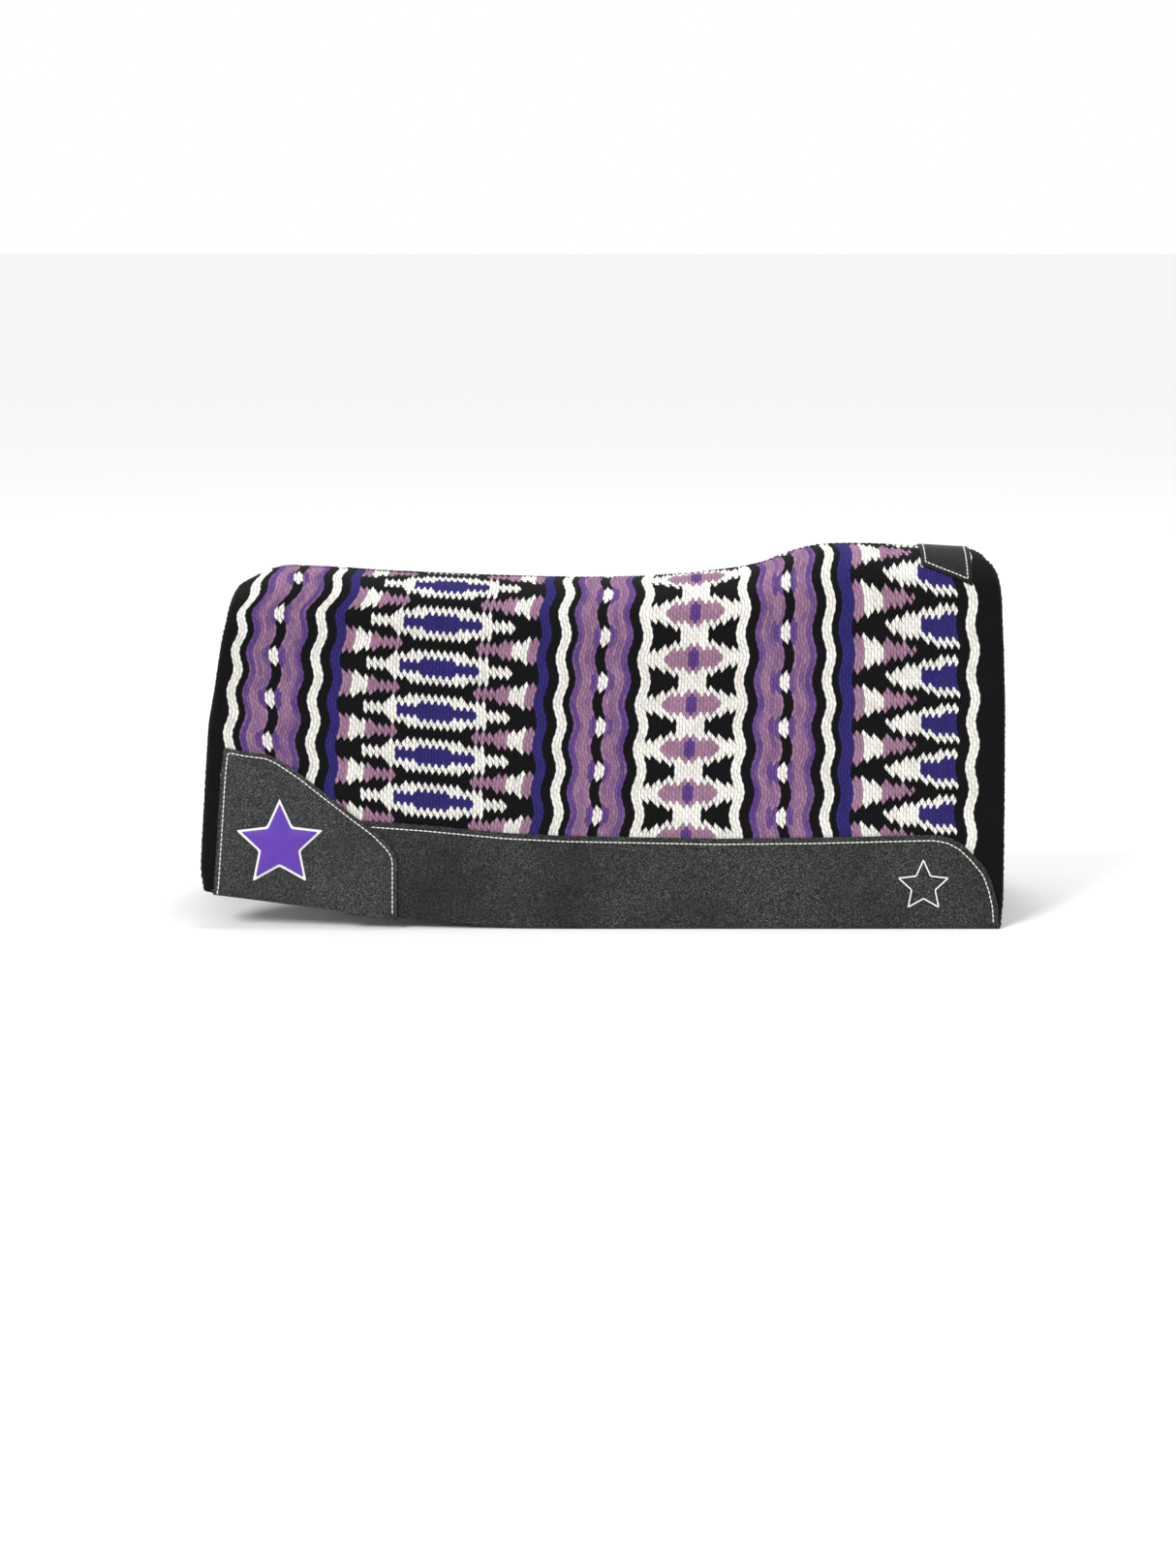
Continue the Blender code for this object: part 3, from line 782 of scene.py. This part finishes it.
RETURN_H = 0.034             # height of the leather behind the hem
STITCH_PITCH = 0.0048
STITCH_INSIDE = 0.0059       # from the cut edge to the stitching
EDGE_ROWS = (0.0, 0.0009, 0.0041, STITCH_INSIDE, 0.0078, 0.0110)   # rows of points below the cut edge
SINK = (0.00012, 0.00028, 0.00045)   # depth beside the stitching, between two stitches and at a stitch
FACE_ROWS, BACK_ROWS = 13, 3       # rows down the rest of the face and up the back
HEM_ROUND, CUT_ROUND = 0.0035, 0.0005   # rounding under the hem and of the cut edges
SWELL, SWELL_EVERY = 0.00022, 16   # slow waviness of the leather and its columns from knot to knot
STEEPEST = 1.6                     # slope of the upper edge beyond which the rows spread no further
WEAR_EDGE = (
    (-0.256, 0.1100), (-0.1776, 0.1044), (-0.0976, 0.0966), (-0.0381, 0.0937), (0.1152, 0.0908),
    (0.2108, 0.0917), (0.2948, 0.0937), (0.3338, 0.0947), (0.3504, 0.0917), (0.3640, 0.0839),
    (0.3758, 0.0722), (0.3884, 0.0566), (0.3943, 0.0400), (0.3982, 0.0224), (0.3992, 0.0068),
)                            # upper edge of the strip (x, height up the flap)
CORNER_EDGE = (
    (-0.3914, 0.0400), (-0.3880, 0.0930), (-0.3845, 0.1520), (-0.3816, 0.1830), (-0.3621, 0.1786),
    (-0.3377, 0.1757), (-0.3270, 0.1708), (-0.3035, 0.1552), (-0.2762, 0.1337), (-0.2660, 0.1258),
    (-0.2600, 0.1212), (-0.2469, 0.1113), (-0.2284, 0.0976), (-0.2147, 0.0839), (-0.2085, 0.0755),
    (-0.2069, 0.0683),
)
CORNER_STEP = (-0.2655, -0.2605)   # where the corner leather climbs onto the strip


def walk(points, spacing, reach=0.004):
    """Points of a smooth line through a rough one, evenly spaced, with its corners rounded off."""
    points = np.asarray(points, float)
    gone = np.concatenate([[0.0], np.cumsum(np.linalg.norm(np.diff(points, axis=0), axis=1))])
    at = np.linspace(0.0, gone[-1], max(int(round(gone[-1] / spacing)), 2) + 1)
    smoothed = np.zeros((len(at), points.shape[1]))
    for step in np.linspace(-1.0, 1.0, 9):
        near = np.clip(at + step * np.minimum(reach, np.minimum(at, gone[-1] - at)), 0.0, gone[-1])
        smoothed += np.stack([np.interp(near, gone, column) for column in points.T], axis=1)
    return smoothed / 9


def corner_lift(x):
    """How far the corner leather stands off the pad where it laps over the strip."""
    share = np.clip((x - CORNER_STEP[0]) / (CORNER_STEP[1] - CORNER_STEP[0]), 0.0, 1.0)
    return (LEATHER_T + GAP) * share * share * (3 - 2 * share)


def rounded(path, radius):
    """A path of 2D points with each inner corner replaced by a short curve."""
    curved = [path[0]]
    for before, corner, after in zip(path, path[1:], path[2:]):
        before, corner, after = (np.array(point) for point in (before, corner, after))
        lead_in = corner + (before - corner) * min(radius / np.linalg.norm(before - corner), 0.45)
        lead_out = corner + (after - corner) * min(radius / np.linalg.norm(after - corner), 0.45)
        for share in (0.0, 0.25, 0.5, 0.75, 1.0):
            curved.append((1 - share) ** 2 * lead_in + 2 * share * (1 - share) * corner
                          + share ** 2 * lead_out)
    curved.append(path[-1])
    return [np.array(point, float) for point in curved]


def hem_leather(name, side, edge, lift, seed):
    """Leather sheet from its upper edge down the flap, under the hem and up behind it."""
    line = walk(edge, STITCH_PITCH / 2)
    pick = np.random.RandomState(seed)
    swell_at = np.arange(0, len(line) + SWELL_EVERY, SWELL_EVERY)
    swell = np.interp(np.arange(len(line)), swell_at, pick.randn(len(swell_at)))
    columns = []
    for index, (x, up) in enumerate(line):
        off = float(lift(x))
        rise = GAP + off + LEATHER_T
        behind = -FULL_T - rise
        floor_z = float(smooth_interp(x, HEM)) + HEM_LIFT - rise
        low = (floor_z - rise * math.sin(SPLAY)) / math.cos(SPLAY)
        low_behind = (floor_z - behind * math.sin(SPLAY)) / math.cos(SPLAY)
        before, after = line[max(index - 1, 0)], line[min(index + 1, len(line) - 1)]
        slope = min(abs((after[1] - before[1]) / max(after[0] - before[0], 1e-6)), STEEPEST)
        steep = math.sqrt(1 + slope * slope)
        height = max(up - low, 0.001)
        down = [min(d * steep, height * (n + 1) / 10) if n else 0.0 for n, d in enumerate(EDGE_ROWS)]
        sink = [0.0, 0.0, SINK[0], SINK[2] if index % 2 else SINK[1], SINK[0], 0.0]
        points = [np.array((up - d, rise - s)) for d, s in zip(down, sink)]
        wrap = rounded([points[-1], (low, rise), (low_behind, behind),
                        (min(RETURN_H, 0.9 * up) + low_behind, behind)], HEM_ROUND)
        face = wrap[0] + (wrap[1] - wrap[0]) * np.linspace(0.0, 1.0, FACE_ROWS + 2)[1:-1, None]
        wave = SWELL * swell[index] * np.sin(np.linspace(0.0, math.pi, FACE_ROWS))
        points += [point + np.array((0.0, bend)) for point, bend in zip(face, wave)] + wrap[1:]
        back = wrap[-2] + (wrap[-1] - wrap[-2]) * np.linspace(0.0, 1.0, BACK_ROWS + 2)[1:-1, None]
        points = points[:-1] + list(back) + points[-1:]
        columns.append(on_flap(side, x, np.array(points)[:, 0], np.array(points)[:, 1]))
    obj = from_grid(name, np.stack(columns, axis=1))
    return thicken(obj, LEATHER_T, CUT_ROUND)


def thicken(obj, thickness, round_off):
    """Give an open sheet its thickness inwards and round off its cut edges."""
    bm = bmesh.new()
    bm.from_mesh(obj.data)
    bmesh.ops.recalc_face_normals(bm, faces=bm.faces)
    face = max(bm.faces, key=lambda f: f.calc_center_median().z)
    if face.normal.y * face.calc_center_median().y < 0:
        bmesh.ops.reverse_faces(bm, faces=bm.faces)
    bm.to_mesh(obj.data)
    bm.free()
    solid = obj.modifiers.new("thickness", "SOLIDIFY")
    solid.thickness = thickness
    solid.offset = -1.0
    solid.use_even_offset = True
    edges = obj.modifiers.new("cut_edges", "BEVEL")
    edges.width = round_off
    edges.segments = 2
    edges.limit_method = "ANGLE"
    edges.angle_limit = math.radians(55.0)
    bpy.context.view_layer.objects.active = obj
    obj.select_set(True)
    for modifier in ("thickness", "cut_edges"):
        bpy.ops.object.modifier_apply(modifier=modifier)
    bpy.ops.object.shade_smooth_by_angle(angle=math.radians(50.0))
    obj.select_set(False)
    return obj


def leather_material(name, colour, highlight_colour, pebble, roughness, shine):
    """Grained leather: small rounded pebbles with painted highlights on their tops and painted shade in
    their creases, specks of painted highlight, and broad random patches lighter and darker, partly painted
    highlight.
    """
    material, tree, shader = shader_of(name, roughness=roughness, specular_ior_level=shine)
    place = on_object(tree)
    stretched = stretch(tree, place, (1.0, 1.0, 1.5), rotation=(0.2, 0.5, 0.0))
    warp = add_node(tree, "ShaderNodeTexNoise", {"Vector": stretched, "Scale": 160.0})
    bent = add_node(tree, "ShaderNodeMixRGB", {"Fac": 0.003, "Color1": stretched,
                                               "Color2": warp.outputs["Color"]})
    cells = add_node(tree, "ShaderNodeTexVoronoi", {"Vector": bent.outputs["Color"], "Scale": pebble},
                     feature="SMOOTH_F1")
    pores = noise(tree, place, 1400.0, 3.0)
    patches = noise(tree, place, 8.0, 5.0, 0.6)
    clusters = noise(tree, stretched, 470.0, 2.0, 0.6)
    grain = calc(tree, "MULTIPLY_ADD", pores, 0.22, cells.outputs["Distance"])
    # Broad random patches, lighter and darker, partly painted highlight; specks of painted highlight over
    # clusters of the grain.
    broad_patches = remap(tree, patches, (0.35, 0.66), (0.5, 1.6))
    speck_highlights = remap(tree, clusters, (0.38, 0.66), (0.45, 2.9))
    patches_and_specks = calc(tree, "MULTIPLY", broad_patches, speck_highlights)
    gloss = remap(tree, patches, (0.3, 0.7), (roughness + 0.08, roughness - 0.06))
    tree.links.new(gloss, shader.inputs["Roughness"])
    # Painted highlight on the pebbles' tops, and painted shade down to the dark base colour in their
    # creases.
    tone = scaled(tree, ramp_of(tree, grain, ((0.26, highlight_colour), (0.58, colour))), patches_and_specks)
    lumps = calc(tree, "MULTIPLY_ADD", clusters, -2.6, grain)
    finish_look(tree, shader, tone, lumps, 1.0, 0.0006, invert=True)
    return material


# Each leather's second colour is the painted highlight on its pebbles.
pebbled = leather_material("pebbled_leather", srgb(5, 5, 6), srgb(61, 62, 63), 860.0, 0.30, 0.22)
corner_hide = leather_material("corner_leather", srgb(4, 4, 5), srgb(68, 69, 71), 800.0, 0.26, 0.30)
STRIP_SEED, PATCH_SEED = 31, 32


def no_lift(x):
    """The strip lies flat on the pad all along."""
    return 0.0 * x


for label, side in SIDES:
    strip = hem_leather(label + "_wear_strip", side, WEAR_EDGE, no_lift, STRIP_SEED)
    strip.data.materials.append(pebbled)
    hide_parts(label + "_wear_leather")
    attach(strip, label + "_half")
    patch = hem_leather(label + "_rear_corner", side, CORNER_EDGE, corner_lift, PATCH_SEED)
    patch.data.materials.append(corner_hide)
    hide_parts(label + "_rear_corner_leather")
    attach(patch, label + "_half")


# ---------------------------------------------------------------------------------------------
# Lockstitching: off-white thread, about five stitches to the inch, just inside the edges of the
# leathers. Every stitch is a short fat loop that dives into the leather at both ends.

THREAD_R = 0.00065
STITCH_L, SEAM_STITCH_L = 0.0044, 0.0041
FINE = 0.0012                # spacing of the points along a line, and the rounding of a sharp corner
WEAR_STITCHES = (
    (-0.2330, 0.1024), (-0.1776, 0.0984), (-0.0976, 0.0908), (-0.0381, 0.0879), (0.1152, 0.0850),
    (0.2108, 0.0859), (0.2948, 0.0879), (0.3330, 0.0889), (0.3480, 0.0862), (0.3600, 0.0794),
    (0.3716, 0.0680), (0.3832, 0.0538), (0.3888, 0.0385), (0.3926, 0.0215), (0.3935, 0.0060),
)
CORNER_STITCHES = (
    (-0.3880, 0.0345), (-0.3865, 0.0440), (-0.3835, 0.0920), (-0.3800, 0.1500), (-0.3773, 0.1775),
    (-0.3615, 0.1741), (-0.3385, 0.1713), (-0.3290, 0.1668), (-0.3060, 0.1516), (-0.2788, 0.1302),
    (-0.2655, 0.1200), (-0.2605, 0.1162), (-0.2496, 0.1078), (-0.2314, 0.0942), (-0.2184, 0.0812),
    (-0.2128, 0.0735), (-0.2114, 0.0670), (-0.2114, 0.0150),
)


def stitch_row(name, points, out, pitch, length, radius, slant=0.0):
    """One mesh of separate stitches along a line; out is the direction off the surface at its points."""
    bpy.ops.mesh.primitive_uv_sphere_add(segments=8, ring_count=6, radius=1.0)
    loop = bpy.context.object
    bpy.ops.object.mode_set(mode="EDIT")
    bpy.ops.mesh.select_all(action="SELECT")
    bpy.ops.transform.rotate(value=math.pi / 2, orient_axis="Y", center_override=(0.0, 0.0, 0.0))
    bpy.ops.object.mode_set(mode="OBJECT")
    gone = np.concatenate([[0.0], np.cumsum(np.linalg.norm(np.diff(points, axis=0), axis=1))])
    count = max(int(round(gone[-1] / pitch)), 1)
    bm = bmesh.new()
    for index in range(count):
        middle = (index + 0.5) * gone[-1] / count
        centre, ahead, behind = (
            Vector([np.interp(at, gone, column) for column in points.T])
            for at in (middle, middle + length / 2, middle - length / 2))
        up = Vector([np.interp(middle, gone, column) for column in out.T])
        along = (ahead - behind).normalized()
        up.normalize()
        across = up.cross(along).normalized()
        along = (along + slant * across).normalized()
        across = up.cross(along).normalized()
        turn = Matrix((along, across, up)).transposed().to_4x4()
        place = Matrix.Translation(centre) @ turn @ Matrix.Diagonal((length / 2, radius, radius, 1.0))
        before = len(bm.verts)
        bm.from_mesh(loop.data)
        bm.verts.ensure_lookup_table()
        bmesh.ops.transform(bm, matrix=place, verts=bm.verts[before:])
    bpy.data.objects.remove(loop)
    bmesh.ops.recalc_face_normals(bm, faces=bm.faces)
    mesh = bpy.data.meshes.new(name)
    bm.to_mesh(mesh)
    bm.free()
    row = bpy.data.objects.new(name, mesh)
    bpy.context.scene.collection.objects.link(row)
    mesh.shade_smooth()
    return row


def thread_material(name, colour, twist):
    """Waxed twisted thread, with painted shade in the grooves of its turns."""
    material, tree, shader = shader_of(name, roughness=0.55, specular_ior_level=0.35)
    turns = waves(tree, on_object(tree), twist, 0.6, "DIAGONAL")
    # Painted shade in the grooves of the twist.
    groove_shade = tuple(0.62 * v for v in colour[:3]) + (1.0,)
    finish_look(tree, shader, ramp_of(tree, turns, ((0.0, groove_shade), (0.45, colour))), turns, 0.5, 0.0001)
    return material


white_thread = thread_material("white_thread", srgb(236, 233, 222), 900.0)


def flap_line(side, line, rise):
    """A line on the flap in space, and the direction off the flap along it."""
    place = on_flap(side, line[:, 0], line[:, 1], rise)
    out = np.tile((0.0, side * math.cos(SPLAY), math.sin(SPLAY)), (len(line), 1))
    return place, out


STITCH_RISE = 0.0001               # how far a stitch's middle stands off the leather
seat = GAP + LEATHER_T + STITCH_RISE
for label, side in SIDES:
    for part, route, lift in (("wear_leather", WEAR_STITCHES, no_lift),
                              ("rear_corner", CORNER_STITCHES, corner_lift)):
        line = walk(route, FINE)
        place, out = flap_line(side, line, seat + lift(line[:, 0]))
        name = label + "_" + part + "_lockstitch"
        stitches = stitch_row(name, place, out, STITCH_PITCH, STITCH_L, THREAD_R)
        stitches.data.materials.append(white_thread)
        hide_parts(label + "_" + part + "_stitching")
        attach(stitches, label + "_half")


# ---------------------------------------------------------------------------------------------
# Withers leather: smooth black leather over the ridge at the front, where the saddle's fork would
# rub, with its own row of stitching. Each half is bent round its side of the fold.

WITHERS = ((0.3220, 0.0400), (0.3400, 0.0470), (0.3590, 0.0540), (0.3730, 0.0600))  # (x, depth)
WITHERS_STITCHES = (
    (0.3265, 0.0012), (0.3265, 0.0365), (0.3335, 0.0396), (0.3400, 0.0425), (0.3465, 0.0449),
    (0.3530, 0.0472), (0.3590, 0.0495), (0.3680, 0.0535), (0.3680, 0.0012),
)
# Its second colour is the painted highlight on its pebbles.
smooth_leather = leather_material("smooth_leather", srgb(3, 3, 3), srgb(6, 6, 7), 1100.0, 0.26, 0.16)
WITHERS_ROWS, WITHERS_COLUMNS = 31, 25
WITHERS_PITCH, WITHERS_STITCH_L = 0.0042, 0.0036
EDGE_DROP = 0.0006           # how far the upper face is rounded down along its cut edges
for label, side in SIDES:
    x = np.linspace(WITHERS[0][0], WITHERS[-1][0], WITHERS_COLUMNS)[None, :]
    share = np.linspace(0.0, 1.0, WITHERS_ROWS)[:, None]
    depth = np.interp(x, [row[0] for row in WITHERS], [row[1] for row in WITHERS])
    angle = share * depth / fold(x)[0]
    upper = GAP + LEATHER_T + 0 * angle
    for edge in (np.s_[-1, :], np.s_[:, 0], np.s_[:, -1]):
        upper[edge] -= EDGE_DROP
    outer = from_grid(label + "_withers_patch", on_fold(side, x + 0 * angle, angle, upper))
    inner = from_grid(label + "_withers_back", on_fold(side, x + 0 * angle, angle, GAP + 0 * angle))
    withers = close_between(outer, inner)
    withers.data.materials.append(smooth_leather)
    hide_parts(label + "_withers_leather")
    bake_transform(withers)

    line = walk(WITHERS_STITCHES, FINE, FINE)
    angle = line[:, 1] / fold(line[:, 0])[0]
    place = on_fold(side, line[:, 0], angle, seat)
    out = np.stack([0 * angle, side * np.sin(angle), np.cos(angle)], axis=1)
    stitches = stitch_row(label + "_withers_lockstitch", place, out, WITHERS_PITCH, WITHERS_STITCH_L,
                          THREAD_R)
    stitches.data.materials.append(white_thread)
    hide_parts(label + "_withers_stitching")
    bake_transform(stitches)


# ---------------------------------------------------------------------------------------------
# Badges: a purple felt star edged in white satin stitch on the rear corner leather, and a small
# star outlined in white cord at the front end of the strip.

STAR_R, STAR_BORDER, SMALL_STAR_R = 0.046, 0.0055, 0.026
REAR_STAR, FRONT_STAR = (-0.3250, 0.0850), (0.3230, 0.0430)
STAR_WAIST = 0.48            # radius of the star's inner corners, as a share of its own
BACKING_T, BACKING_CROWN = 0.0008, 0.0002
FILLING_T, FILLING_CROWN = 0.0012, 0.0007
FILLING_RISE = 0.0006        # how far the filling's base stands above the backing's
CORD_PITCH, CORD_STITCH, CORD_R, CORD_SLANT = 0.0016, 0.0030, 0.0007, 0.35
CORD_RISE, CORD_SPACING = 0.0004, 0.0006   # height of the cord's middle, spacing of its outline


def star_line(radius, spacing):
    """Closed outline of a five-pointed star about the origin."""
    corners = []
    for index in range(11):
        turn = math.radians(90 + 36 * index)
        reach = radius if index % 2 == 0 else radius * STAR_WAIST
        corners.append((reach * math.cos(turn), reach * math.sin(turn)))
    return walk(corners, spacing, FINE)


def star_patch(name, side, radius, base, thickness, crown):
    """Star cut from cloth on the rear corner leather: it rises straight, then inwards to its crown."""
    line = star_line(radius, radius * 0.07)
    bpy.ops.mesh.primitive_circle_add(vertices=len(line) - 1, radius=radius, fill_type="NGON")
    patch = bpy.context.object
    patch.name = patch.data.name = name
    for vert, (across, up) in zip(patch.data.vertices, line):
        vert.co = (across, up, 0.0)
    face_up = patch.data.polygons[0].normal.z > 0
    bpy.ops.object.mode_set(mode="EDIT")
    bpy.ops.mesh.select_all(action="SELECT")
    if not face_up:
        bpy.ops.mesh.flip_normals()
    for scale, higher in ((1.0, thickness * 0.6), (0.985, thickness * 0.4), (0.86, crown)):
        bpy.ops.mesh.extrude_region_move(TRANSFORM_OT_translate={"value": (0.0, 0.0, higher)})
        bpy.ops.transform.resize(value=(scale, scale, 1.0), center_override=(0.0, 0.0, 0.0))
    bpy.ops.mesh.select_all(action="DESELECT")
    bpy.ops.mesh.select_face_by_sides(number=4, type="GREATER")
    bpy.ops.mesh.poke()
    bpy.ops.object.mode_set(mode="OBJECT")
    for vert in patch.data.vertices:
        across, up, higher = vert.co
        vert.co = on_flap(side, REAR_STAR[0] + across, REAR_STAR[1] + up, base + higher)
    face_outwards(patch)
    patch.select_set(True)
    bpy.ops.object.shade_smooth_by_angle(angle=math.radians(40.0))
    patch.select_set(False)
    return patch


def satin_material(name, colour, groove_shade, scale, direction):
    """Close rows of silky embroidery thread, with a sheen along them and painted shade between them."""
    material, tree, shader = shader_of(name, roughness=0.42, sheen_weight=0.2, specular_ior_level=0.4)
    # Painted shade between the rows.
    rows = waves(tree, on_object(tree), scale, 0.8, direction)
    finish_look(tree, shader, ramp_of(tree, rows, ((0.0, groove_shade), (0.6, colour))), rows, 0.6, 0.0002)
    return material


# Each satin's second colour is its painted shade between rows.
border_satin = satin_material("emblem_border", srgb(240, 239, 234), srgb(190, 188, 184), 260.0, "DIAGONAL")
purple_satin = satin_material("emblem_purple", srgb(92, 48, 170), srgb(58, 26, 120), 230.0, "X")
for label, side in SIDES:
    base = 2 * GAP + LEATHER_T
    backing = star_patch(label + "_star_border", side, STAR_R, base, BACKING_T, BACKING_CROWN)
    backing.data.materials.append(border_satin)
    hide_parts(label + "_rear_emblem_backing")
    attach(backing, label + "_half")
    filling = star_patch(label + "_star", side, STAR_R - STAR_BORDER, base + FILLING_RISE + GAP,
                         FILLING_T, FILLING_CROWN)
    filling.data.materials.append(purple_satin)
    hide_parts(label + "_rear_emblem")
    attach(filling, label + "_half")

    line = star_line(SMALL_STAR_R, CORD_SPACING) + np.array(FRONT_STAR)
    place, out = flap_line(side, line, base + CORD_RISE)
    outline = stitch_row(label + "_small_star", place, out, CORD_PITCH, CORD_STITCH, CORD_R, CORD_SLANT)
    outline.data.materials.append(border_satin)
    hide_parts(label + "_front_emblem")
    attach(outline, label + "_half")


# ---------------------------------------------------------------------------------------------
# Spine tape: a woven webbing under the ridge that covers the join of the underside felts, held by
# a row of stitches down its middle. Each half of it is bent round its side of the fold.

TAPE_HALF_ANGLE = math.radians(35.0)
TAPE_T = 0.0018
TAPE_RISE = -FULL_T - 2 * GAP   # its upper face


def webbing_material():
    """Flat black webbing with a fine herringbone."""
    material, tree, shader = shader_of("spine_tape", roughness=0.82)
    place = on_object(tree)
    both = calc(tree, "MULTIPLY", waves(tree, place, 330.0, 0.4, "Y"), waves(tree, place, 260.0, 0.4, "X"))
    colours = ((0.1, srgb(15, 15, 17)), (0.8, srgb(48, 48, 52)))
    finish_look(tree, shader, ramp_of(tree, both, colours), both, 0.6, 0.0004)
    return material


webbing = webbing_material()
tape_x = np.linspace(-0.366, 0.366, 121)[None, :]
tape_angle = np.linspace(0.0, TAPE_HALF_ANGLE, 9)[:, None]
tape_x, tape_angle = np.broadcast_arrays(tape_x, tape_angle)
for label, side in SIDES:
    outer = from_grid(label + "_spine_webbing", on_fold(side, tape_x, tape_angle, TAPE_RISE))
    inner = from_grid(label + "_tape_back", on_fold(side, tape_x, tape_angle, TAPE_RISE - TAPE_T))
    tape = close_between(outer, inner)
    tape.data.materials.append(webbing)
    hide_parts("spine_tape")
    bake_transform(tape)

seam_thread = thread_material("seam_thread", srgb(190, 186, 176), 900.0)
seam_x = np.linspace(-0.360, 0.362, 240)
seam_radius, seam_centre = fold(seam_x)
SEAM_RISE = 0.0002           # how far the seam's middle stands off the tape
seam_z = seam_centre + seam_radius + TAPE_RISE - TAPE_T - SEAM_RISE
seam_line = np.stack([seam_x, 0 * seam_x, seam_z], axis=1)
downwards = np.tile((0.0, 0.0, -1.0), (len(seam_x), 1))
seam = stitch_row("spine_seam", seam_line, downwards, STITCH_PITCH, SEAM_STITCH_L, THREAD_R)
seam.data.materials.append(seam_thread)
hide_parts("spine_seam_thread")
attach(seam, "spine")
